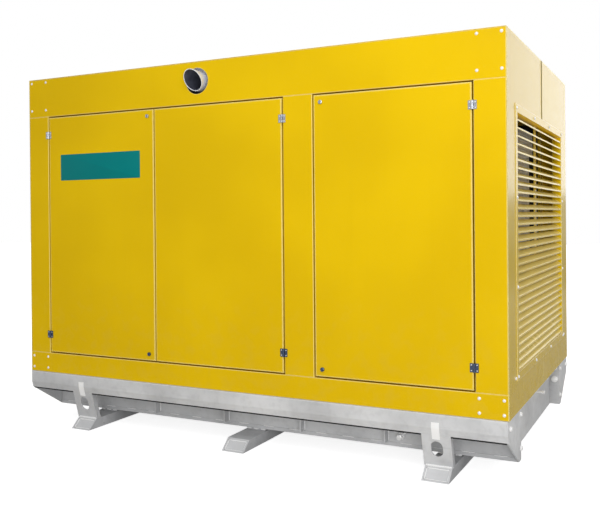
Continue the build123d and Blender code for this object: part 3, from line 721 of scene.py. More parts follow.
class MeshStack:
    """Points and faces of many small solids that are joined into one mesh."""

    def __init__(self) -> None:
        """Start with no points."""
        self.points: list[np.ndarray] = []
        self.faces: list[tuple[int, ...]] = []
        self.count = 0

    def add(self, points: np.ndarray, faces: Iterable[Sequence[int]]) -> None:
        """Add points and faces.

        Args:
            points: Places of the new points.
            faces: Faces, whose numbers count from the first new point.
        """
        start = self.count
        self.points.append(np.asarray(points, float))
        self.faces.extend(tuple(start + index for index in face) for face in faces)
        self.count += len(points)

    def loft(self, rings: Sequence[np.ndarray], closed: bool = False) -> None:
        """Skin a row of rings that have as many points each.

        Args:
            rings: The rings, in order, each turning the same way.
            closed: Join the last ring to the first one, in place of end caps.
        """
        size, total = len(rings[0]), len(rings)
        faces: list[Sequence[int]] = []
        for row in range(total if closed else total - 1):
            here, there = row * size, (row + 1) % total * size
            for step in range(size):
                after = (step + 1) % size
                faces.append((here + step, here + after, there + after, there + step))
        if not closed:
            faces += [tuple(range(size - 1, -1, -1)), tuple(range((total - 1) * size, total * size))]
        self.add(np.concatenate(rings), faces)

    def turned(
        self, rings: Rings, place: Point, axis: Point, sides: int, turn: float = 0.0
    ) -> None:
        """Turn a profile about an axis; a ring with corners is a polygon across its flats.

        Args:
            rings: Radius and height of each ring, and its number of corners unless it is round.
            place: Foot of the axis.
            axis: Way that heights go.
            sides: Points in each ring.
            turn: Angle that the corners are turned by.
        """
        basis = np.array(Vector(axis).normalized().to_track_quat("Z", "Y").to_matrix())
        angles = np.arange(sides) * (TURN / sides)
        loops = []
        for radius, height, *corners in rings:
            reach = np.full(sides, max(radius, 1e-6))
            if corners:
                sector = TURN / corners[0]
                reach = reach / np.cos((angles + turn) % sector - sector / 2.0)
            local = np.stack([reach * np.cos(angles), reach * np.sin(angles), np.full(sides, height)], 1)
            loops.append(local @ basis.T + np.array(place))
        self.loft(loops)

    def screw(
        self, kind: Head, radius: float, place: Point, axis: Point, turn: float = 0.0
    ) -> None:
        """Add a screw head of a kind on a surface."""
        rings = [(radius * reach, radius * height, *corners) for reach, height, *corners in kind.value]
        self.turned(rings, place, axis, 24, turn)

    def swept(self, path: np.ndarray, radii: np.ndarray, sides: int) -> None:
        """Sweep a round section of changing radius along a path.

        Args:
            path: Points of the path.
            radii: Radius at each point.
            sides: Points in the section.
        """
        ways = np.gradient(np.asarray(path, float), axis=0)
        ways /= np.linalg.norm(ways, axis=1)[:, None]
        helper = np.array(UP) if abs(ways[0][2]) < 0.9 else np.array(RIGHT)
        angles = np.arange(sides) * (TURN / sides)
        rings = []
        side = np.cross(ways[0], helper)
        for point, way, radius in zip(path, ways, radii):
            side = side - way * np.dot(side, way)
            side = side / np.linalg.norm(side)
            ring = np.outer(np.cos(angles), side) + np.outer(np.sin(angles), np.cross(way, side))
            rings.append(np.asarray(point) + radius * ring)
        self.loft(rings)

    def tube(self, points: Sequence[Point], radius: float, sides: int = 20) -> None:
        """Sweep a tube of even radius along a path with rounded corners."""
        path = rounded_path(points)
        self.swept(path, np.full(len(path), radius), sides)

    def closed_wire(self, path: np.ndarray, wire: float) -> None:
        """Sweep a round wire along a flat path that ends where it starts.

        Args:
            path: Points of the path, the last one before the first.
            wire: Radius of the wire.
        """
        outward = path - path.mean(0)
        outward /= np.linalg.norm(outward, axis=1)[:, None]
        over = np.cross(np.roll(path, -1, 0) - np.roll(path, 1, 0), outward)
        over /= np.linalg.norm(over, axis=1)[:, None]
        turns = np.arange(12) * (TURN / 12)
        self.loft([
            point + wire * (np.outer(np.cos(turns), out) + np.outer(np.sin(turns), up))
            for point, out, up in zip(path, outward, over)
        ], closed=True)

    def plate(self, outline: np.ndarray, basis: Matrix, thickness: float, bevel: float) -> None:
        """Raise a plate with a bevelled rim from an outline.

        Args:
            outline: Points about the plate's middle, turning left.
            basis: Placing of the plate: its X and Y lie in it and its Z points out.
            thickness: Height of the plate.
            bevel: Width and height of the bevel round its upper rim.
        """
        reach = np.abs(outline).max(0)
        inner = outline * (1.0 - bevel / reach)
        middle = outline * (1.0 - 0.3 * bevel / reach)
        heights = (0.0, thickness - bevel, thickness - 0.3 * bevel, thickness)
        rings = []
        for points, height in zip((outline, outline, middle, inner), heights):
            local = np.column_stack([points, np.full(len(points), height), np.ones(len(points))])
            rings.append((local @ np.array(basis).T)[:, :3])
        self.loft(rings)

    def mesh(self, name: str, sharp_angle: float) -> bpy.types.Mesh:
        """Make the mesh, smooth but for its sharp edges.

        Args:
            name: Name of the mesh.
            sharp_angle: Angle in degrees from which an edge stays sharp.

        Returns:
            The mesh, with its faces turned outwards.
        """
        made = bpy.data.meshes.new(name)
        made.from_pydata(np.concatenate(self.points).tolist(), [], self.faces)
        made.validate()
        shell = bmesh.new()
        shell.from_mesh(made)
        bmesh.ops.recalc_face_normals(shell, faces=shell.faces)
        shell.to_mesh(made)
        shell.free()
        made.polygons.foreach_set("use_smooth", [True] * len(made.polygons))
        made.set_sharp_from_angle(angle=math.radians(sharp_angle))
        return made


def rounded_outline(width: float, height: float, radius: float, steps: int = 5) -> np.ndarray:
    """Outline of a rectangle with rounded corners.

    Args:
        width: Full width.
        height: Full height.
        radius: Radius of the corners.
        steps: Points on each corner.

    Returns:
        Points about the middle, turning left.
    """
    points = []
    for way_x, way_y, start in ((1, 1, 0.0), (-1, 1, 90.0), (-1, -1, 180.0), (1, -1, 270.0)):
        for angle in np.radians(np.linspace(start, start + 90.0, steps)):
            points.append((
                way_x * (width / 2.0 - radius) + radius * math.cos(angle),
                way_y * (height / 2.0 - radius) + radius * math.sin(angle),
            ))
    return np.array(points)


def rounded_path(points: Sequence[Point], rounds: int = 3) -> np.ndarray:
    """Cut the corners of a path until it is smooth.

    Args:
        points: Corners of the path.
        rounds: How often the corners are cut.

    Returns:
        Points of the smooth path, with the same ends.
    """
    path = np.array(points, float)
    for _ in range(rounds):
        cut = np.empty((2 * len(path) - 2, 3))
        cut[0::2] = path[:-1] * 0.75 + path[1:] * 0.25
        cut[1::2] = path[:-1] * 0.25 + path[1:] * 0.75
        path = np.vstack([path[:1], cut, path[-1:]])
    return path


def facing(place: Point, along: Point, out: Point) -> Matrix:
    """Placing of a flat piece on a surface.

    Args:
        place: Its origin.
        along: Way of its X, made square to its Z.
        out: Way of its Z.

    Returns:
        The placing.
    """
    z_axis = Vector(out).normalized()
    x_axis = (Vector(along) - z_axis * Vector(along).dot(z_axis)).normalized()
    made = Matrix((x_axis, z_axis.cross(x_axis), z_axis)).transposed().to_4x4()
    made.translation = Vector(place)
    return made


def outer(name: str, axis: str, way: float) -> float:
    """The coordinate of a node's box on the side that a sign points to."""
    return getattr(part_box(name)[1 if way > 0.0 else 0], axis)


def add_piece(
    name: str,
    stack: MeshStack,
    finish: Finish,
    body: Body = Body.CANOPY,
    sharp_angle: float = 32.0,
) -> bpy.types.Object:
    """Make a piece from a stack, dress it and let it ride on a body.

    Args:
        name: Name of the piece.
        stack: Its points and faces.
        finish: Its finish.
        body: The body that carries it.
        sharp_angle: Angle in degrees from which an edge stays sharp.

    Returns:
        The new object.
    """
    made = bpy.data.objects.new(name, stack.mesh(name, sharp_angle))
    bpy.context.scene.collection.objects.link(made)
    made.data.materials.append(finish.material())
    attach(made, body.value)
    LOG.info("piece %s rides on %s: %d faces", name, body.value, len(made.data.polygons))
    return made


def dress(finish: Finish, *nodes: str) -> None:
    """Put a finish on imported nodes.

    Args:
        finish: The finish.
        nodes: Names of the nodes.
    """
    for name in nodes:
        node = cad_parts[name]
        node.data.materials.clear()
        node.data.materials.append(finish.material())
        LOG.info("node %s takes %s", name, finish.name)


@dataclass
class Canopy:
    """Folded sheet canopy: frame members, ends, roof, corner screws, grille screws and door seals."""

    screw_radius: float = 0.0068
    screw_near: float = 0.020
    screw_far: float = 0.137
    fascia_high: float = 0.020
    fascia_low: float = 0.043
    sill_high: float = 0.026
    sill_low: float = 0.027
    grille_screw: float = 0.0075
    grille_rows: int = 4
    flange_middle: float = 0.020
    panel_screw_offset: float = 0.031
    roof_screw: float = 0.0065
    roof_screw_inset: float = 0.030
    roof_screws: int = 12
    seam_bead: float = 0.0030
    seam_points: int = 24
    stop_width: float = 0.018
    stop_depth: float = 0.045
    seal_width: float = 0.011
    seal_height: float = 0.0062

    def build(self) -> None:
        """Dress the nodes and add the canopy's pieces."""
        dress(YELLOW, "roof_panels")
        for face in FACES:
            dress(YELLOW, *(f"{face}_{member}" for member in ("top_fascia", "bottom_sill", "centre_pillar")))
            dress(YELLOW, *(f"{face}_{side}_post" for side in SIDES))
        for side in SIDES:
            # Louvre grilles take a lit copy of the yellow and end panels a shaded copy: painted light and
            # painted shade.
            dress(GRILLE_LIT_COAT, f"{side}_louvre_grille")
            dress(END_SHADE_COAT, f"{side}_end_panels")
        self.corner_screws()
        self.end_screws()
        self.roof_fixings()
        self.seam_beads()
        self.door_seals()

    def corner_screws(self) -> None:
        """Add four button-head screws at each end of the fascias and sills."""
        for face, way in FACES.items():
            stack = MeshStack()
            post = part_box(f"{face}_left_post")
            fascia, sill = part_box(f"{face}_top_fascia"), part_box(f"{face}_bottom_sill")
            for member, box, levels in (
                ("top_fascia", fascia, (fascia[1].z - self.fascia_high, post[1].z + self.fascia_low)),
                ("bottom_sill", sill, (post[0].z - self.sill_high, sill[0].z + self.sill_low)),
            ):
                line = outer(f"{face}_{member}", "y", way)
                for end, inward in ((box[0].x, 1.0), (box[1].x, -1.0)):
                    for inset, level in product((self.screw_near, self.screw_far), levels):
                        place = (end + inward * inset, line, level)
                        stack.screw(Head.BUTTON, self.screw_radius, place, (0.0, way, 0.0), level)
            add_piece(f"{face}_corner_screws", stack, ZINC)

    def end_screws(self) -> None:
        """Add the screws in the flange of each louvre grille, and one beside each lower corner."""
        for side, way in SIDES.items():
            stack = MeshStack()
            out = (way, 0.0, 0.0)
            lowest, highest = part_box(f"{side}_louvre_grille")
            ends_y = (lowest.y + self.flange_middle, highest.y - self.flange_middle)
            ends_z = (lowest.z + self.flange_middle, highest.z - self.flange_middle)
            shares = np.linspace(0.0, 1.0, self.grille_rows)
            runs_y, runs_z = (low + shares * (high - low) for low, high in (ends_y, ends_z))
            places = {*product(ends_y, runs_z), *product(runs_y, ends_z)}
            line = outer(f"{side}_louvre_grille", "x", way)
            for across, level in sorted(places):
                stack.screw(Head.BUTTON, self.grille_screw, (line, across, level), out, across)
            line = outer(f"{side}_end_panels", "x", way)
            for across in (lowest.y - self.panel_screw_offset, highest.y + self.panel_screw_offset):
                stack.screw(Head.BUTTON, self.grille_screw, (line, across, ends_z[0]), out, across)
            add_piece(f"{side}_grille_screws", stack, ZINC)

    def roof_fixings(self) -> None:
        """Add a row of screws along both long edges of the roof."""
        stack = MeshStack()
        lowest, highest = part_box("roof_panels")
        step = (highest.x - lowest.x) / self.roof_screws
        for index in range(self.roof_screws):
            along = lowest.x + (index + 0.5) * step
            for across in (lowest.y + self.roof_screw_inset, highest.y - self.roof_screw_inset):
                stack.screw(Head.BUTTON, self.roof_screw, (along, across, highest.z), UP, along)
        add_piece("roof_screws", stack, ZINC)

    def seam_beads(self) -> None:
        """Add a dark olive bead on the seam of the end panels, over each louvre grille, as painted shade in
        the seam.
        """
        stack = MeshStack()
        for side, way in SIDES.items():
            line = outer(f"{side}_end_panels", "x", way)
            foot, head = (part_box(f"{side}_{name}")[1].z for name in ("louvre_grille", "end_panels"))
            path = [(line, 0.0, level) for level in np.linspace(foot, head, self.seam_points)]
            stack.swept(np.array(path), np.full(self.seam_points, self.seam_bead), 8)
        add_piece("end_seam_beads", stack, SEAM_SHADE)

    def door_seals(self) -> None:
        """Add a rubber seal on the stops round each front door opening."""
        stack = MeshStack()
        half = self.stop_width / 2.0
        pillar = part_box("front_centre_pillar")
        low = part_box("front_bottom_sill")[1].z - half
        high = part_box("front_top_fascia")[0].z + half
        line = pillar[0].y + self.stop_depth
        angles = np.linspace(0.0, math.pi, 9)
        inward, height = self.seal_width / 2.0 * np.cos(angles), self.seal_height * np.sin(angles)
        for start, end in (
            (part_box("front_left_post")[1].x - half, pillar[0].x + half),
            (pillar[1].x - half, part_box("front_right_post")[0].x + half),
        ):
            corners = (
                (start, low, 1.0, 1.0), (end, low, -1.0, 1.0),
                (end, high, -1.0, -1.0), (start, high, 1.0, -1.0),
            )
            stack.loft([
                np.stack([along + way_x * inward, line - height, level + way_z * inward], 1)
                for along, level, way_x, way_z in corners
            ], closed=True)
        add_piece("front_door_seals", stack, RUBBER)


@dataclass
class Doors:
    """Hinged doors: foam linings, hinge screws, lock faces and the blank plate."""

    hinge_screw: float = 0.0028
    hinge_screw_rise: float = 0.0135
    hinge_inset: float = 0.109
    hinge_plate: float = 0.003
    leaf_middle: float = 0.0135
    half_gap: float = 0.004
    lock_side_inset: float = 0.041
    lock_end_inset: float = 0.038
    lock_height: float = 0.005
    lock_profile: Rings = (
        (0.0112, 0.0), (0.0112, 0.0012), (0.0104, 0.0030), (0.0084, 0.0042), (0.0066, 0.0045),
        (0.0060, 0.0040), (0.0058, 0.0016), (0.0034, 0.0014, 4), (0.0033, 0.0034, 4), (0.0, 0.0035),
    )
    cam_length: float = 0.040
    cam_width: float = 0.014
    cam_sheet: float = 0.003
    foam_pitch: float = 0.050
    foam_cells: int = 4
    foam_relief: float = 0.016
    foam_rim: float = 0.020
    plate_width: float = 0.613
    plate_height: float = 0.160
    plate_corner: float = 0.004
    plate_left: float = 0.094
    plate_drop: float = 0.235
    plate_thickness: float = 0.0006

    def build(self) -> None:
        """Dress the doors and add their pieces."""
        for name, body, hinge_end in zip(ROW, (Body.LEFT, Body.MIDDLE, Body.RIGHT), (0, 1, 1)):
            dress(DOOR_HIGHLIGHT_COAT, f"{name}_door")
            dress(HINGE_STEEL, f"{name}_door_hardware")
            lining = f"{name}_door_lining"
            self.lining(f"{name}_door_foam", lining, body, [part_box(lining)], 1.0)
            self.hinge_screws(name, body, hinge_end)
            if name != "middle":
                self.locks(name, body, hinge_end)
        dress(DOOR_HIGHLIGHT_COAT, "rear_doors")
        dress(HINGE_STEEL, "front_hinge_leaves", "rear_door_hardware")
        rear = []
        for name in ROW:
            low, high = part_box(f"{name}_door_lining")
            rear.append((Vector((low.x, -high.y, low.z)), Vector((high.x, -low.y, high.z))))
        self.lining("rear_door_foam", "rear_door_linings", Body.CANOPY, rear, -1.0)
        self.blank_plate()

    def hinge_screws(self, name: str, body: Body, hinge_end: int) -> None:
        """Add two small screws to each leaf of a door's hinges, at the front and in mirror image at the rear.

        Args:
            name: Side of the door.
            body: Body of the front door.
            hinge_end: 0 when the hinges are on the door's left edge, 1 when on its right edge.
        """
        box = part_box(f"{name}_door")
        way = 1.0 if hinge_end == 0 else -1.0
        middle = box[hinge_end].x - way * self.half_gap
        moving, fixed = MeshStack(), MeshStack()
        levels = (box[0].z + self.hinge_inset, box[1].z - self.hinge_inset)
        for level, rise in product(levels, (-self.hinge_screw_rise, self.hinge_screw_rise)):
            for stack, side in ((moving, way), (fixed, -way)):
                place = Vector((middle + side * self.leaf_middle, box[0].y - self.hinge_plate, level + rise))
                stack.screw(Head.COUNTERSUNK, self.hinge_screw, place, FRONT, rise + side)
                mirrored = (place.x, -place.y, place.z)
                fixed.screw(Head.COUNTERSUNK, self.hinge_screw, mirrored, REAR, rise - side)
        add_piece(f"{name}_door_hinge_screws", moving, ZINC, body)
        add_piece(f"{name}_frame_hinge_screws", fixed, ZINC)

    def locks(self, name: str, body: Body, hinge_end: int) -> None:
        """Add the keyed faces of a door's locks, and a turned-back cam behind each.

        Args:
            name: Side of the door.
            body: Body of the front door.
            hinge_end: 0 when the hinges are on the door's left edge, 1 when on its right edge.
        """
        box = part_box(f"{name}_door")
        way = 1.0 if hinge_end == 0 else -1.0
        along = box[1 - hinge_end].x - way * self.lock_side_inset
        front = box[0].y - self.lock_height
        outline = rounded_outline(self.cam_width, self.cam_length, self.cam_width * 0.4)
        faces, rear_faces, cams = MeshStack(), MeshStack(), MeshStack()
        for end, inward in ((box[0].z, 1.0), (box[1].z, -1.0)):
            level = end + inward * self.lock_end_inset
            faces.turned(self.lock_profile, (along, front, level), FRONT, 24, 0.5)
            rear_faces.turned(self.lock_profile, (along, -front, level), REAR, 24, 0.5)
            back = Vector((along, box[1].y, level))
            cams.screw(Head.HEX, self.cam_width / 2.0, back, REAR, 0.3)
            basis = facing(back + UP * (inward * self.cam_length * 0.3), LEFT, REAR)
            cams.plate(outline, basis, self.cam_sheet, self.cam_sheet * 0.3)
        add_piece(f"{name}_door_lock_faces", faces, HINGE_STEEL, body)
        add_piece(f"{name}_door_lock_cams", cams, ZINC, body)
        add_piece(f"{name}_rear_lock_faces", rear_faces, HINGE_STEEL)

    def foam_sheet(self, stack: MeshStack, lowest: Vector, highest: Vector, way: float) -> None:
        """Add a foam pad with rows of soft peaks on the side that faces inwards.

        Args:
            stack: Stack that takes the pad.
            lowest: Lowest corner of the pad's room.
            highest: Highest corner of the pad's room.
            way: Sign of Y towards the inside.
        """
        back = lowest.y if way > 0.0 else highest.y
        spans = (highest.x - lowest.x, highest.z - lowest.z)
        columns, rows = (int(span / self.foam_pitch) * self.foam_cells for span in spans)
        across = np.linspace(lowest.x, highest.x, columns + 1)
        up = np.linspace(lowest.z, highest.z, rows + 1)
        grid_x, grid_z = np.meshgrid(across, up, indexing="ij")
        phase_x = np.arange(columns + 1)[:, None] * (TURN / self.foam_cells)
        phase_z = np.arange(rows + 1)[None, :] * (TURN / self.foam_cells)
        peaks = (2.0 - np.cos(phase_x) - np.cos(phase_z)) / 4.0
        margin = np.minimum.reduce(
            [grid_x - lowest.x, highest.x - grid_x, grid_z - lowest.z, highest.z - grid_z]
        )
        rim = np.clip(margin / self.foam_rim, 0.0, 1.0)
        loss = (1.0 - peaks * rim) + (1.0 - rim) ** 2 * 0.4
        height = highest.y - lowest.y - self.foam_relief * loss
        top = np.stack([grid_x, back + way * height, grid_z], 2).reshape(-1, 3)
        bottom = np.stack([grid_x, np.full_like(grid_x, back), grid_z], 2).reshape(-1, 3)
        wide, count = rows + 1, len(top)
        faces: list[tuple[int, ...]] = []
        for corner in (column * wide + row for column, row in product(range(columns), range(rows))):
            faces.append((corner, corner + 1, corner + wide + 1, corner + wide))
        loop = list(range(rows + 1))
        loop += [column * wide + rows for column in range(1, columns + 1)]
        loop += [columns * wide + row for row in range(rows - 1, -1, -1)]
        loop += [column * wide for column in range(columns - 1, 0, -1)]
        faces += [
            (after, here, here + count, after + count) for here, after in zip(loop, loop[1:] + loop[:1])
        ]
        faces.append(tuple(index + count for index in reversed(loop)))
        stack.add(np.concatenate([top, bottom]), faces)

    def lining(self, name: str, node: str, body: Body, rooms: Sequence[Sequence[Vector]], way: float) -> None:
        """Replace plain pads with peaked foam sheets.

        Args:
            name: Name of the new piece.
            node: The node with the plain pads.
            body: The body that carries it.
            rooms: Lowest and highest corner of each pad's room.
            way: Sign of Y towards the inside.
        """
        stack = MeshStack()
        for lowest, highest in rooms:
            self.foam_sheet(stack, lowest, highest, way)
        made = add_piece(name, stack, FOAM, body, sharp_angle=80.0)
        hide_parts(node)

    def blank_plate(self) -> None:
        """Add the plain film on the left door."""
        stack = MeshStack()
        lowest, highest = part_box("left_door")
        place = (
            lowest.x + self.plate_left + self.plate_width / 2.0,
            lowest.y,
            highest.z - self.plate_drop - self.plate_height / 2.0,
        )
        outline = rounded_outline(self.plate_width, self.plate_height, self.plate_corner)
        stack.plate(outline, facing(place, RIGHT, FRONT), self.plate_thickness, self.plate_thickness / 2.0)
        add_piece("left_door_blank_plate", stack, TEAL_FILM, Body.LEFT)


@dataclass
class Base:
    """Welded base: painted plates, skids, weld beads, end-cap bolts, plugs and blank stickers."""

    bolt_radius: float = 0.0105
    cap_bolts: Rings = ((0.887, -0.045), (0.645, -0.031), (0.645, -0.200))
    bead_radius: float = 0.0034
    bead_step: float = 0.004
    bead_sides: int = 8
    bead_sink: float = 0.001
    bead_wander: float = 0.10
    ripple_depth: float = 0.16
    ripple_turn: float = 2.1
    tab_share: float = 1.7
    strip_share: float = 0.7
    seat_share: float = 1.3
    skid_rim: float = 0.009
    skid_recess: float = 0.008
    tab_cheek: float = 0.035
    tab_bead_inset: float = 0.002
    web_line: float = 0.683
    web_bottom: float = 0.068
    strip_height: float = 0.020
    strip_proud: float = 0.003
    rib_first: float = -0.688
    rib_pitch: float = 0.498
    rib_count: int = 4
    rib_half: float = 0.004
    rib_foot: float = 0.093
    dash_start: float = 0.05
    dash_length: float = 0.070
    dash_pitch: float = 0.165
    seat_drop: float = 0.003
    shadow_strip_inset: float = 0.006
    shadow_strip_drop: float = 0.003
    rail_shadow_radius: float = 0.0050
    shadow_strip_points: int = 60
    drain_place: tuple[float, float] = (0.884, 0.128)
    drain_body: Rings = (
        (0.017, 0.0, 6), (0.017, 0.012, 6), (0.0125, 0.014), (0.0125, 0.030), (0.0145, 0.031, 6),
        (0.0145, 0.043, 6), (0.012, 0.045), (0.0, 0.045),
    )
    drain_lever: Rings = ((0.005, 0.0), (0.005, 0.026), (0.007, 0.028), (0.007, 0.036), (0.0, 0.038))
    lever_foot: Triple = (0.006, -0.024, 0.004)
    lever_way: Triple = (0.75, 0.0, 0.66)
    plug: Rings = (
        (0.0205, 0.0), (0.0205, 0.007), (0.0185, 0.009), (0.012, 0.009), (0.011, 0.009, 4), (0.011, 0.020, 4),
        (0.0, 0.021),
    )
    plug_place: tuple[float, float] = (0.030, -0.100)
    cheek_bolt: tuple[float, float] = (0.033, -0.029)
    cross_bolt: tuple[float, float] = (-0.118, -0.072)
    stub: Rings = (
        (0.011, 0.0), (0.011, 0.006), (0.0068, 0.008), (0.0068, 0.048), (0.009, 0.049, 6), (0.009, 0.060, 6),
        (0.007, 0.062), (0.0, 0.062),
    )
    stub_place: tuple[float, float] = (0.055, -0.066)
    sticker_width: float = 0.040
    sticker_drop: float = 0.024
    sticker_rise: float = 0.064
    sticker_bend: float = 0.004
    sticker_thickness: float = 0.0007
    lip_height: float = 0.035

    def build(self) -> None:
        """Dress the base and add its pieces."""
        dress(GREY, "base_tank", "floor_deck", "engine_bearers", *(f"{place}_skid" for place in ROW))
        for face in FACES:
            dress(GREY, f"{face}_side_rail", *(f"{face}_{side}_lifting_tab" for side in SIDES))
        for side in SIDES:
            dress(GREY, f"{side}_end_caps", f"{side}_end_crossmember")
        self.bolts()
        self.skid_welds()
        self.web_welds()
        self.rail_shadow_strips()
        self.fittings()
        self.stickers()

    def bolts(self) -> None:
        """Add the hexagon bolts in the end caps."""
        stack = MeshStack()
        for side, way in SIDES.items():
            line, top = outer(f"{side}_end_caps", "x", way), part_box(f"{side}_end_caps")[1].z
            for (across, drop), sign in product(self.cap_bolts, WAYS):
                place = (line, sign * across, top + drop)
                stack.screw(Head.HEX, self.bolt_radius, place, (way, 0.0, 0.0), across * sign)
        add_piece("end_cap_bolts", stack, ZINC)

    def bead(self, stack: MeshStack, start: Point, end: Point, share: float = 1.0) -> None:
        """Lay a rippled weld bead that wanders slightly, as by hand.

        Args:
            stack: Stack that takes the bead.
            start: First point of its middle line.
            end: Last point of its middle line.
            share: Its radius as a share of the usual one.
        """
        count = max(int((Vector(end) - Vector(start)).length / self.bead_step), 4)
        shares = np.linspace(0.0, 1.0, count)[:, None]
        wander = np.random.default_rng(stack.count).normal(0.0, self.bead_step * self.bead_wander, (count, 3))
        steps = np.arange(count)
        ripple = 1.0 + self.ripple_depth * np.sin(steps * self.ripple_turn)
        taper = np.clip(np.minimum(steps, steps[::-1]) / 2.0 + 0.3, 0.0, 1.0)
        path = np.array(start) * (1.0 - shares) + np.array(end) * shares + wander
        stack.swept(path, self.bead_radius * share * ripple * taper, self.bead_sides)

    def skid_welds(self) -> None:
        """Add the beads round the skids' end plates and along the feet of the lifting tabs."""
        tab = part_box("front_left_lifting_tab")
        top_half = -(tab[1].y - self.tab_cheek)
        height = tab[0].z
        inset = self.bead_radius * 0.6
        stack = MeshStack()
        for name, way in product(ROW, WAYS):
            lowest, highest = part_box(f"{name}_skid")
            slope = Vector((0.0, way * (top_half - highest.y), height))
            length = slope.length
            slope.normalize()
            out = Vector((0.0, way * slope.z, -way * slope.y))
            floor = REAR * (way * highest.y) - out * (self.skid_recess - self.bead_radius * 0.5)
            left, right = lowest.x + self.skid_rim + inset, highest.x - self.skid_rim - inset
            foot = floor + slope * (self.skid_rim + self.bead_radius * 2.0)
            head = floor + slope * (length - self.skid_rim - inset)
            for start, end in (
                ((left, foot), (right, foot)), ((left, head), (right, head)),
                ((left, foot), (left, head)), ((right, foot), (right, head)),
            ):
                self.bead(stack, *((along, point.y, point.z) for along, point in (start, end)))
            if name != "middle":
                edge = (way * (top_half + self.bead_sink), height + self.tab_bead_inset)
                ends = (lowest.x + self.tab_bead_inset, highest.x - self.tab_bead_inset)
                self.bead(stack, *((along, *edge) for along in ends), self.tab_share)
        add_piece("skid_weld_beads", stack, WELD_HIGHLIGHT, sharp_angle=60.0)

    def web_welds(self) -> None:
        """Add the beads at the ribs, along the bottom strip and where the tank sits on the skids."""
        stack = MeshStack()
        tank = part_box("base_tank")
        rail_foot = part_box("front_side_rail")[0].z
        for way in WAYS:
            line = way * (self.web_line + self.bead_sink)
            for index, side in product(range(self.rib_count), WAYS):
                along = self.rib_first + index * self.rib_pitch + side * (self.rib_half + self.bead_sink)
                self.bead(stack, (along, line, self.rib_foot), (along, line, rail_foot))
            strip = (way * (self.web_line + self.strip_proud * 0.6), self.web_bottom + self.strip_height)
            first, last = tank[0].x + self.dash_start, tank[1].x - self.dash_length
            for start in np.arange(first, last, self.dash_pitch):
                self.bead(stack, (start, *strip), (start + self.dash_length, *strip), self.strip_share)
            seat = (way * (self.web_line + self.strip_proud), self.web_bottom - self.seat_drop)
            for name in ROW:
                lowest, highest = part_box(f"{name}_skid")
                step = (highest.x - lowest.x) / 3.0
                for index in range(3):
                    start = lowest.x + (index + 0.15) * step
                    self.bead(stack, (start, *seat), (start + step * 0.7, *seat), self.seat_share)
        add_piece("web_weld_beads", stack, WELD_HIGHLIGHT, sharp_angle=60.0)

    def rail_shadow_strips(self) -> None:
        """Add a dark strip under the lip of each side rail, as painted shadow where the lip shades the web.
        """
        stack = MeshStack()
        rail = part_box("front_side_rail")
        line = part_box("front_left_lifting_tab")[0].y + self.shadow_strip_inset
        for way in (1.0, -1.0):
            runs = np.linspace(rail[0].x, rail[1].x, self.shadow_strip_points)
            path = [(along, way * line, rail[0].z - self.shadow_strip_drop) for along in runs]
            stack.swept(np.array(path), np.full(self.shadow_strip_points, self.rail_shadow_radius), 10)
        # Black rubber on the strip: painted shadow.
        add_piece("rail_lip_painted_shadows", stack, RUBBER)

    def fittings(self) -> None:
        """Add the drain cock on the front web, and the plug, bolts and stub pipe at the right-hand end."""
        stack = MeshStack()
        along, level = self.drain_place
        root = Vector((along, -self.web_line, level))
        stack.turned(self.drain_body, root, FRONT, 24)
        stack.turned(self.drain_lever, root + Vector(self.lever_foot), self.lever_way, 16)
        face, cheek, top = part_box("right_end_crossmember")[1]
        stack.turned(self.plug, (face + self.plug_place[0], cheek, top + self.plug_place[1]), FRONT, 28)
        place = (face + self.cheek_bolt[0], cheek, top + self.cheek_bolt[1])
        stack.screw(Head.HEX, self.bolt_radius, place, FRONT, 0.4)
        place = (face, cheek + self.cross_bolt[0], top + self.cross_bolt[1])
        stack.screw(Head.HEX, self.bolt_radius, place, RIGHT, 0.2)
        stack.turned(self.stub, (face, self.stub_place[0], top + self.stub_place[1]), RIGHT, 24)
        add_piece("base_fittings", stack, ZINC)

    def stickers(self) -> None:
        """Add a blank film over the slot of each front lifting tab, bent over the rail's fold."""
        rail_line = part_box("front_side_rail")[0].y
        half = self.sticker_width / 2.0
        for side in SIDES:
            stack = MeshStack()
            lowest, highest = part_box(f"front_{side}_lifting_tab")
            middle = (lowest.x + highest.x) / 2.0
            lip = Vector((lowest.y - rail_line, self.lip_height))
            fold = Vector((rail_line, highest.z + lip.y))
            run = lip.normalized()
            reaches = (self.sticker_drop + lip.length, self.sticker_bend)
            path = [fold + Vector((run.x, -run.y)) * reach for reach in reaches]
            path += [fold + Vector((0.0, rise)) for rise in (self.sticker_bend, self.sticker_rise - lip.y)]
            rings = []
            for index, point in enumerate(path):
                out = Vector((-run.y, -run.x)) if index < 2 else Vector((-1.0, 0.0))
                skin = point + out * self.sticker_thickness
                left, right = middle - half, middle + half
                rings.append(np.array([(left, *point), (right, *point), (right, *skin), (left, *skin)]))
            stack.loft(rings)
            add_piece(f"{side}_tab_blank_sticker", stack, WHITE_FILM)


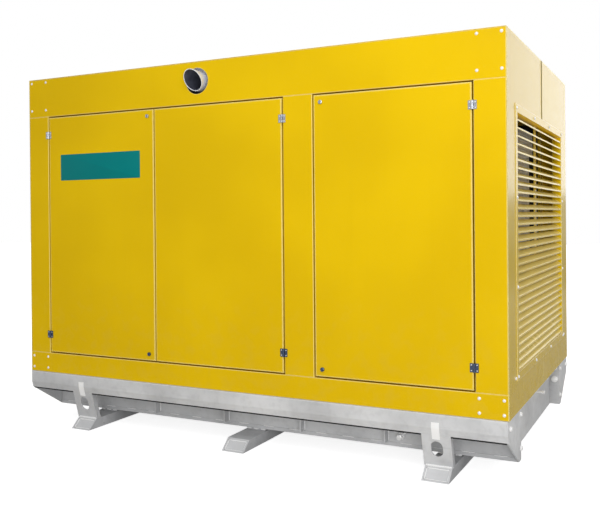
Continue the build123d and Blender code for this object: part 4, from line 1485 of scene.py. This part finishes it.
@dataclass
class Exhaust:
    """Exhaust outlet with a rolled lip, its sleeve and the silencer."""

    wall: float = 0.003
    lip: float = 0.0021
    lip_points: int = 96
    shadow_rise: float = 0.010

    def build(self) -> None:
        """Dress the exhaust and roll the pipe's lip."""
        lowest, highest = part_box("exhaust_outlet")
        radius = (highest.x - lowest.x) / 2.0
        middle = ((lowest.x + highest.x) / 2.0, 0.0, (lowest.z + highest.z) / 2.0)
        pipe = HotPipe(
            "stainless_pipe", Slot.STAINLESS,
            steel=(0.840, 0.870, 1.000), straw=(0.800, 0.800, 0.900), blue=(0.740, 0.790, 1.000),
            soot_and_shade=(0.026, 0.030, 0.056), middle=middle, bore=radius - self.wall, mouth=lowest.y,
        )
        # The sleeve's dark lower half is painted shadow in the hole round the pipe.
        sleeve = HalfShadowedSleeve(
            "sleeve_with_painted_shadow", Slot.COLLAR,
            zinc=(0.800, 0.795, 0.830), soot_and_shade=(0.010, 0.011, 0.016), level=middle[2] + self.shadow_rise,
        )
        dress(pipe, "exhaust_outlet")
        dress(sleeve, "exhaust_collar")
        dress(EXHAUST, "silencer")
        self.rolled_lip(middle, radius)

    def rolled_lip(self, middle: Triple, radius: float) -> None:
        """Roll a bright lip round the pipe's slanted mouth.

        Args:
            middle: Point on the pipe's axis.
            radius: Outer radius of the pipe.
        """
        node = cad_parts["exhaust_outlet"]
        points = np.array([node.matrix_world @ vertex.co for vertex in node.data.vertices])
        reach = np.hypot(points[:, 0] - middle[0], points[:, 2] - middle[2])
        outside = points[:, 1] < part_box("front_top_fascia")[0].y
        rim = points[(np.abs(reach - radius) < self.wall / 3.0) & outside]
        tilt, start = np.polyfit(rim[:, 2], rim[:, 1], 1)
        angles = np.arange(self.lip_points) * (TURN / self.lip_points)
        ring = radius - self.wall / 2.0
        level = middle[2] + ring * np.sin(angles)
        stack = MeshStack()
        path = np.stack([middle[0] + ring * np.cos(angles), start + tilt * level, level], 1)
        stack.closed_wire(path, self.lip)
        add_piece("exhaust_rolled_lip", stack, LIP_HIGHLIGHT_STEEL)


@dataclass
class PowerTrain:
    """Engine, alternator, radiator and control cabinet, with their bolts, pipes, hoses and belt."""

    bolt: float = 0.0075
    bolt_margin: float = 0.05
    bolt_count: int = 8
    foot_bolt_rise: float = 0.020
    block: tuple[float, float] = (0.060, 0.960)
    block_levels: tuple[float, float] = (0.603, 1.143)
    case_half: float = 0.210
    head_half: float = 0.160
    cover_half: float = 0.130
    crank_level: float = 0.783
    fan_level: float = 0.873
    hub_radius: float = 0.092
    bell_depth: float = 0.110
    bell_bolts: float = 0.268
    manifold: tuple[float, float] = (0.250, 0.770)
    manifold_line: float = -0.230
    flange_count: int = 6
    flange_size: Triple = (0.062, 0.080, 0.012)
    flange_sheet: float = 0.008
    flange_bevel: float = 0.0015
    flange_bolt_rise: float = 0.026
    turbo_place: Triple = (0.490, -0.315, 1.058)
    scroll: Rings = (
        (0.060, 0.0), (0.100, 0.004), (0.112, 0.026), (0.100, 0.050), (0.058, 0.058), (0.042, 0.066),
        (0.040, 0.090), (0.036, 0.090), (0.0, 0.086),
    )
    starter_place: Triple = (0.060, -0.260, 0.690)
    starter: Rings = (
        (0.034, 0.0), (0.036, 0.020), (0.058, 0.022), (0.060, 0.030), (0.060, 0.190), (0.054, 0.200),
        (0.030, 0.206), (0.0, 0.206),
    )
    solenoid_place: Triple = (0.090, -0.255, 0.772)
    solenoid: Rings = ((0.028, 0.0), (0.030, 0.004), (0.030, 0.110), (0.020, 0.116), (0.0, 0.120))
    dynamo_place: Triple = (0.800, -0.285, 0.985)
    dynamo: Rings = (
        (0.030, 0.0), (0.060, 0.006), (0.068, 0.018), (0.068, 0.052), (0.071, 0.054), (0.071, 0.086),
        (0.068, 0.088), (0.066, 0.128), (0.040, 0.146), (0.012, 0.150), (0.012, 0.196), (0.040, 0.198),
        (0.034, 0.210), (0.040, 0.222), (0.0, 0.224),
    )
    bracket_place: Triple = (0.895, -0.195, 0.955)
    bracket_way: Triple = (0.0, -1.0, 0.35)
    bracket_size: Triple = (0.150, 0.050, 0.018)
    bracket_sheet: float = 0.014
    bracket_bevel: float = 0.003
    filter_runs: tuple[float, float] = (0.420, 0.545)
    filter_place: tuple[float, float] = (-0.260, 0.840)
    canister: Rings = (
        (0.030, 0.0), (0.052, 0.003), (0.054, 0.010), (0.048, 0.016), (0.050, 0.022), (0.050, 0.150),
        (0.044, 0.164), (0.0, 0.168),
    )
    filter_head_place: tuple[float, float] = (-0.255, 0.838)
    filter_head_size: Triple = (0.100, 0.120, 0.020)
    filter_head_sheet: float = 0.030
    filter_head_bevel: float = 0.004
    air_path: Rings = (
        (0.720, 0.245, 1.143), (0.820, 0.245, 1.143), (0.850, 0.125, 1.343), (0.800, -0.200, 1.343),
        (0.694, -0.315, 1.203), (0.674, -0.315, 1.058), (0.574, -0.315, 1.058),
    )
    air_radius: float = 0.036
    dipstick_path: Rings = (
        (0.300, -0.206, 0.700), (0.300, -0.250, 0.740), (0.312, -0.262, 0.900), (0.316, -0.262, 0.985),
    )
    dipstick_radius: float = 0.005
    pulley_radius: float = 0.036
    belt_plane: float = 1.010
    belt_height: float = 0.009
    belt_halves: tuple[float, float] = (0.004, 0.007)
    hose_radius: float = 0.028
    hose_seat: float = 0.050
    hose_paths: tuple[Rings, Rings] = (
        ((0.960, 0.100, 1.080), (1.030, 0.100, 1.080), (1.030, 0.180, 1.300), (1.045, 0.230, 1.560),
         (1.060, 0.240, 1.740)),
        ((0.960, -0.130, 0.690), (1.025, -0.150, 0.680), (1.030, -0.300, 0.480), (1.060, -0.360, 0.395)),
    )
    clamp_inset: float = 0.012
    clamp: Rings = ((0.0292, 0.0), (0.0310, 0.002), (0.0310, 0.012), (0.0292, 0.014))
    end_cover: Rings = (
        (0.205, 0.0), (0.205, 0.016), (0.196, 0.024), (0.080, 0.030), (0.074, 0.042), (0.0, 0.044),
    )
    rib_reach: float = 0.140
    rib_rise: float = 0.026
    rib_size: Triple = (0.086, 0.012, 0.005)
    lid_size: Triple = (0.340, 0.180, 0.012)
    lid_line: float = -0.180
    lid_drop: float = 0.110
    lid_sheet: float = 0.006
    lid_bevel: float = 0.002
    lid_screw: float = 0.006
    lid_screw_inset: float = 0.018
    gland: Rings = (
        (0.030, 0.0, 6), (0.030, 0.016, 6), (0.022, 0.018), (0.022, 0.026), (0.026, 0.028, 6),
        (0.026, 0.044, 6), (0.016, 0.052), (0.0, 0.052),
    )
    gland_places: Triple = (-0.090, 0.0, 0.090)
    gland_back: float = 0.190
    gland_drop: float = 0.120
    guard_plane: float = 1.068
    guard_wire: float = 0.003
    guard_inner: float = 0.130
    guard_hoops: int = 7
    hoop_points: int = 72
    spoke_start: float = 0.126
    spoke_lap: float = 0.004
    spoke_seat: float = 0.010
    shroud_edge: float = 1.130
    shroud_radius: float = 0.398
    filler_cap: Rings = (
        (0.030, 0.0), (0.030, 0.010), (0.042, 0.011, 6), (0.042, 0.026, 6), (0.034, 0.030), (0.0, 0.031),
    )
    cap_across: float = 0.300
    core_recess: float = 0.022
    core_bolt_margin: float = 0.22
    core_bolt_inset: float = 0.030
    handle_inset: float = 0.060
    handle_level: float = 1.270
    handle_foot: Triple = (0.034, 0.130, 0.012)
    handle_grip: Triple = (0.018, 0.090, 0.008)
    grip_shift: Triple = (0.0, -0.012, 0.006)
    grip_height: float = 0.016
    grip_bevel: float = 0.005
    barrel: Rings = ((0.007, 0.0), (0.008, 0.002), (0.008, 0.058), (0.007, 0.060))
    barrel_inset: float = 0.020
    barrel_sink: float = 0.002
    barrel_levels: Triple = (0.900, 1.240, 1.580)
    window_shift: float = -0.020
    window_level: float = 1.600
    window_frame: Triple = (0.230, 0.170, 0.010)
    window_pane: Triple = (0.196, 0.136, 0.006)
    vent_size: Triple = (0.180, 0.009, 0.004)
    vent_level: float = 0.830
    vent_pitch: float = 0.022
    vent_count: int = 7
    metal_sheet: float = 0.006
    metal_bevel: float = 0.002
    thin_sheet: float = 0.002
    thin_bevel: float = 0.0008

    def build(self) -> None:
        """Dress the machinery and add its pieces."""
        dress(ENGINE, "engine")
        dress(ALTERNATOR, "alternator")
        dress(FINS, "radiator")
        dress(CABINET, "control_cabinet")
        self.engine_bolts()
        self.engine_fittings()
        self.belt()
        self.hoses()
        self.alternator_fittings()
        self.fan_guard()
        self.cabinet_fittings()

    def engine_bolts(self) -> None:
        """Add the bolts of the rocker cover, crankcase, bell housing and manifold flanges."""
        stack, flanges = MeshStack(), MeshStack()
        start, end = self.block
        low, high = self.block_levels
        cover_line = (self.head_half + self.cover_half) / 2.0
        runs = np.linspace(start + self.bolt_margin, end - self.bolt_margin, self.bolt_count)
        for along, way in product(runs, WAYS):
            stack.screw(Head.HEX, self.bolt, (along, way * cover_line, high), UP, along)
            place = (along, way * self.case_half, low + self.foot_bolt_rise)
            stack.screw(Head.HEX, self.bolt, place, (0.0, way, 0.0), along)
        for angle in np.radians(np.arange(0.0, 360.0, 30.0)):
            across, rise = self.bell_bolts * math.cos(angle), self.bell_bolts * math.sin(angle)
            place = (start - self.bell_depth, across, self.crank_level + rise)
            stack.screw(Head.HEX, self.bolt * 0.8, place, LEFT, angle)
        level = self.turbo_place[2]
        for along in np.linspace(*self.manifold, self.flange_count):
            for rise in (-self.flange_bolt_rise, self.flange_bolt_rise):
                place = (along, self.manifold_line - self.flange_sheet, level + rise)
                stack.screw(Head.HEX, self.bolt, place, FRONT, along + rise)
            basis = facing((along, self.manifold_line, level), RIGHT, FRONT)
            flanges.plate(rounded_outline(*self.flange_size), basis, self.flange_sheet, self.flange_bevel)
        add_piece("engine_bolts", stack, ZINC)
        add_piece("manifold_flanges", flanges, EXHAUST)

    def engine_fittings(self) -> None:
        """Add the turbocharger's scroll, starter, dynamo, oil filters, air pipe and dipstick."""
        cast, pipes = MeshStack(), MeshStack()
        for profile, place, sides in (
            (self.scroll, self.turbo_place, 40), (self.starter, self.starter_place, 36),
            (self.solenoid, self.solenoid_place, 28), (self.dynamo, self.dynamo_place, 36),
        ):
            cast.turned(profile, place, RIGHT, sides)
        bracket = facing(self.bracket_place, self.bracket_way, RIGHT)
        cast.plate(rounded_outline(*self.bracket_size), bracket, self.bracket_sheet, self.bracket_bevel)
        for along in self.filter_runs:
            cast.turned(self.canister, (along, *self.filter_place), DOWN, 32)
            head = facing((along, *self.filter_head_place), RIGHT, UP)
            outline = rounded_outline(*self.filter_head_size)
            cast.plate(outline, head, self.filter_head_sheet, self.filter_head_bevel)
        add_piece("engine_fittings", cast, ALTERNATOR)
        pipes.tube(self.air_path, self.air_radius, 24)
        pipes.tube(self.dipstick_path, self.dipstick_radius, 10)
        add_piece("air_pipe_and_dipstick", pipes, RUBBER)

    def belt(self) -> None:
        """Add the belt from the fan hub to the dynamo's pulley."""
        stack = MeshStack()
        first, second = np.array((0.0, self.fan_level)), np.array(self.dynamo_place[1:])
        apart = second - first
        heading = math.atan2(apart[1], apart[0])
        lean = math.acos((self.hub_radius - self.pulley_radius) / float(np.hypot(*apart)))
        inner_half, outer_half = self.belt_halves
        rings = []
        for middle, radius, angles in (
            (first, self.hub_radius, np.linspace(heading + lean, heading + TURN - lean, 40)),
            (second, self.pulley_radius, np.linspace(heading - lean, heading + lean, 20)),
        ):
            for angle in angles:
                out = np.array((math.cos(angle), math.sin(angle)))
                inner, skin = middle + radius * out, middle + (radius + self.belt_height) * out
                rings.append(np.array([
                    (self.belt_plane - inner_half, *inner), (self.belt_plane + inner_half, *inner),
                    (self.belt_plane + outer_half, *skin), (self.belt_plane - outer_half, *skin),
                ]))
        stack.loft(rings, closed=True)
        add_piece("fan_belt", stack, RUBBER, sharp_angle=60.0)

    def hoses(self) -> None:
        """Add the two coolant hoses from the engine to the header tanks, with their clamps."""
        rubber, bands = MeshStack(), MeshStack()
        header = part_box("radiator")[0].x + self.hose_seat
        for bends in self.hose_paths:
            points = (*bends, (header, *bends[-1][1:]))
            rubber.tube(points, self.hose_radius, 24)
            first, second, before, last = (Vector(points[index]) for index in (0, 1, -2, -1))
            bands.turned(self.clamp, first + RIGHT * self.clamp_inset, second - first, 32)
            bands.turned(self.clamp, last - RIGHT * self.clamp_inset, before - last, 32)
        add_piece("coolant_hoses", rubber, RUBBER)
        add_piece("hose_clamps", bands, ZINC)

    def alternator_fittings(self) -> None:
        """Add the alternator's end screen, the terminal box's lid with its screws, and cable glands."""
        screen, screws = MeshStack(), MeshStack()
        lowest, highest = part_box("alternator")
        run = (lowest.x + highest.x) / 2.0
        middle = Vector((lowest.x, 0.0, self.crank_level))
        screen.turned(self.end_cover, middle, LEFT, 48)
        for angle in np.radians(np.arange(0.0, 360.0, 15.0)):
            out = Vector((0.0, math.cos(angle), math.sin(angle)))
            basis = facing(middle + out * self.rib_reach + LEFT * self.rib_rise, out, LEFT)
            screen.plate(rounded_outline(*self.rib_size), basis, self.lid_sheet, self.lid_bevel)
        lid = facing((run, self.lid_line, highest.z - self.lid_drop), RIGHT, FRONT)
        screen.plate(rounded_outline(*self.lid_size), lid, self.lid_sheet, self.lid_bevel)
        half_x, half_z = (size / 2.0 - self.lid_screw_inset for size in self.lid_size[:2])
        for way_x, way_z in product(WAYS, WAYS):
            corner = Vector((way_x * half_x, way_z * half_z, self.lid_sheet))
            screws.screw(Head.BUTTON, self.lid_screw, lid @ corner, FRONT, way_x)
        for across in self.gland_places:
            place = (run - self.gland_back, across, highest.z - self.gland_drop)
            screen.turned(self.gland, place, LEFT, 24)
        add_piece("alternator_fittings", screen, ENGINE)
        add_piece("terminal_lid_screws", screws, ZINC)

    def fan_guard(self) -> None:
        """Add the wire guard of the fan, the filler cap and the screws round the cooler's face."""
        wires, fixings = MeshStack(), MeshStack()
        angles = np.arange(self.hoop_points) * (TURN / self.hoop_points)
        circle = np.stack([np.zeros(self.hoop_points), np.cos(angles), np.sin(angles)], 1)
        middle = np.array((self.guard_plane, 0.0, self.fan_level))
        for radius in np.linspace(self.guard_inner, self.shroud_radius, self.guard_hoops):
            wires.closed_wire(middle + radius * circle, self.guard_wire)
        hub = middle + np.array(RIGHT) * (2.0 * self.guard_wire)
        back = np.array(RIGHT) * (self.shroud_edge + self.spoke_seat - hub[0])
        for angle in np.radians(np.arange(15.0, 375.0, 30.0)):
            out = np.array((0.0, math.cos(angle), math.sin(angle)))
            tip = hub + out * (self.shroud_radius + self.spoke_lap)
            wires.tube((hub + out * self.spoke_start, tip, tip + back), self.guard_wire, 10)
        add_piece("fan_guard", wires, RUBBER)
        lowest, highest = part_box("radiator")
        fixings.turned(self.filler_cap, ((lowest.x + highest.x) / 2.0, self.cap_across, highest.z), UP, 36)
        margin, inset = self.core_bolt_margin, self.core_bolt_inset
        levels = np.linspace(lowest.z + margin, highest.z - margin, self.bolt_count)
        for level, across in product(levels, (lowest.y + inset, highest.y - inset)):
            fixings.screw(Head.HEX, self.bolt, (highest.x - self.core_recess, across, level), RIGHT, level)
        add_piece("cooler_fixings", fixings, ZINC)

    def cabinet_fittings(self) -> None:
        """Add the cabinet's handle, hinges, blank window, and dark plates as painted shade of its vent slots.
        """
        lowest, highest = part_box("control_cabinet")
        line, middle = lowest.y, (lowest.x + highest.x) / 2.0
        metal, dark = MeshStack(), MeshStack()
        handle = facing((highest.x - self.handle_inset, line, self.handle_level), RIGHT, FRONT)
        metal.plate(rounded_outline(*self.handle_foot), handle, self.metal_sheet, self.metal_bevel)
        grip = handle @ Matrix.Translation(self.grip_shift)
        metal.plate(rounded_outline(*self.handle_grip), grip, self.grip_height, self.grip_bevel)
        for level in self.barrel_levels:
            metal.turned(self.barrel, (lowest.x + self.barrel_inset, line + self.barrel_sink, level), UP, 20)
        window = facing((middle + self.window_shift, line, self.window_level), RIGHT, FRONT)
        metal.plate(rounded_outline(*self.window_frame), window, self.metal_sheet, self.metal_bevel)
        add_piece("cabinet_metalwork", metal, ZINC)
        pane = window @ Matrix.Translation((0.0, 0.0, self.metal_sheet))
        dark.plate(rounded_outline(*self.window_pane), pane, self.thin_sheet, self.thin_bevel)
        # Dark plates stand in for the vent slots: painted shade of the openings.
        for step in range(self.vent_count):
            vent = facing((middle, line, self.vent_level + self.vent_pitch * step), RIGHT, FRONT)
            dark.plate(rounded_outline(*self.vent_size), vent, self.thin_sheet, self.thin_bevel)
        add_piece("cabinet_window_and_vents", dark, COLLAR)


@dataclass
class Studio:
    """Pale floor, soft lamps, white surroundings and the camera of the photograph."""

    floor_size: float = 60.0
    floor_colour: tuple[float, ...] = (0.62, 0.62, 0.62, 1.0)
    floor_lift: float = 0.84
    floor_near: float = 2.6
    floor_far: float = 5.5
    ambient: float = 0.52
    lamps: tuple = (
        ("key", (3.5, -6.9, 1.5), (0.3, -0.9, 1.0), (4.6, 2.6), 165.0),
        ("top", (1.8, -3.4, 3.4), (0.6, -0.9, 1.5), (2.4, 1.6), 36.0),
        ("back", (3.4, 8.6, 4.0), (1.4, 0.9, 1.4), (9.0, 5.0), 198.0),
        ("side", (3.4, 0.5, 2.1), (1.5, 0.1, 1.45), (1.6, 1.2), 10.0),
    )
    camera_place: Triple = (2.2620, -4.6003, 1.2896)
    camera_yaw: float = -26.68
    camera_pitch: float = -0.22
    camera_roll: float = -0.49
    focal_pixels: float = 779.55
    image_width: float = 600.0
    image_height: float = 514.0
    principal_row: float = 219.81
    sensor: float = 36.0

    def build(self) -> None:
        """Make the floor, lamps, surroundings and camera."""
        self.floor()
        self.surroundings()
        for lamp in self.lamps:
            self.lamp(*lamp)
        self.camera()
        bpy.context.scene.view_settings.view_transform = "Standard"

    def floor(self) -> None:
        """Make a pale floor that shows white and keeps the object's shadow."""
        mesh = bpy.data.meshes.new("studio_floor")
        half = self.floor_size / 2.0
        corners = [(-half, -half, 0), (half, -half, 0), (half, half, 0), (-half, half, 0)]
        mesh.from_pydata(corners, [], [(0, 1, 2, 3)])
        floor = bpy.data.objects.new("studio_floor", mesh)
        bpy.context.scene.collection.objects.link(floor)
        material = bpy.data.materials.new("studio_floor")
        material.use_nodes = True
        graph = Graph(material.node_tree)
        matt = graph.node("ShaderNodeBsdfDiffuse", {}, {"Color": self.floor_colour})
        seen = graph.node("ShaderNodeLightPath", {}, {}, "Is Camera Ray")
        distance = graph.vector("LENGTH", graph.place(), None, "Value")
        lift = self.floor_lift + distance.rise(self.floor_near, self.floor_far) * (1.0 - self.floor_lift)
        glow = graph.node("ShaderNodeEmission", {}, {"Strength": seen * lift})
        both = graph.node("ShaderNodeAddShader", {}, {0: matt, 1: glow})
        graph.node("ShaderNodeOutputMaterial", {}, {"Surface": both})
        mesh.materials.append(material)

    def surroundings(self) -> None:
        """Make a world that shows white and lights the object softly."""
        world = bpy.data.worlds.new("studio_world")
        world.use_nodes = True
        graph = Graph(world.node_tree)
        seen = graph.node("ShaderNodeLightPath", {}, {}, "Is Camera Ray")
        strength = self.ambient + seen * (1.0 - self.ambient)
        light = graph.node("ShaderNodeBackground", {}, {"Color": (1.0, 1.0, 1.0, 1.0), "Strength": strength})
        graph.node("ShaderNodeOutputWorld", {}, {"Surface": light})
        bpy.context.scene.world = world

    def lamp(self, name: str, place: Triple, aim: Triple, size: tuple[float, float], power: float) -> None:
        """Hang a large soft lamp.

        Args:
            name: Name of the lamp.
            place: Where it hangs.
            aim: Point that it faces.
            size: Its width and height.
            power: Its power in watts.
        """
        data = bpy.data.lights.new(f"studio_{name}", "AREA")
        data.shape = "RECTANGLE"
        data.size, data.size_y = size
        data.energy = power
        lamp = bpy.data.objects.new(f"studio_{name}", data)
        lamp.location = place
        lamp.rotation_mode = "QUATERNION"
        lamp.rotation_quaternion = (Vector(aim) - Vector(place)).to_track_quat("-Z", "Y")
        lamp.visible_camera = False
        bpy.context.scene.collection.objects.link(lamp)

    def camera(self) -> None:
        """Set the camera where the photograph was taken from."""
        yaw, pitch, roll = (math.radians(a) for a in (self.camera_yaw, self.camera_pitch, self.camera_roll))
        ahead = Vector((math.sin(yaw) * math.cos(pitch), math.cos(yaw) * math.cos(pitch), math.sin(pitch)))
        right = Vector((math.cos(yaw), -math.sin(yaw), 0.0))
        up = right.cross(ahead)
        turned_right = math.cos(roll) * right + math.sin(roll) * up
        turned_up = math.cos(roll) * up - math.sin(roll) * right
        data = bpy.data.cameras.new("photo_camera")
        data.sensor_width = self.sensor
        data.lens = self.focal_pixels / self.image_width * self.sensor
        data.shift_y = (self.principal_row - self.image_height / 2.0) / self.image_width
        data.clip_start, data.clip_end = 0.05, 200.0
        camera = bpy.data.objects.new("photo_camera", data)
        placing = Matrix((turned_right, turned_up, -ahead)).transposed().to_4x4()
        placing.translation = Vector(self.camera_place)
        camera.matrix_world = placing
        bpy.context.scene.collection.objects.link(camera)
        bpy.context.scene.camera = camera


def write_sizes() -> None:
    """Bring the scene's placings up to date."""
    bpy.context.view_layer.update()


def main() -> None:
    """Build every sub-assembly in order."""
    logging.basicConfig(level=logging.INFO, format="%(name)s: %(message)s")
    for part in (Canopy(), Doors(), Base(), Exhaust(), PowerTrain(), Studio()):
        LOG.info("building %s", type(part).__name__)
        part.build()
    write_sizes()


if __name__ == "__main__":
    main()
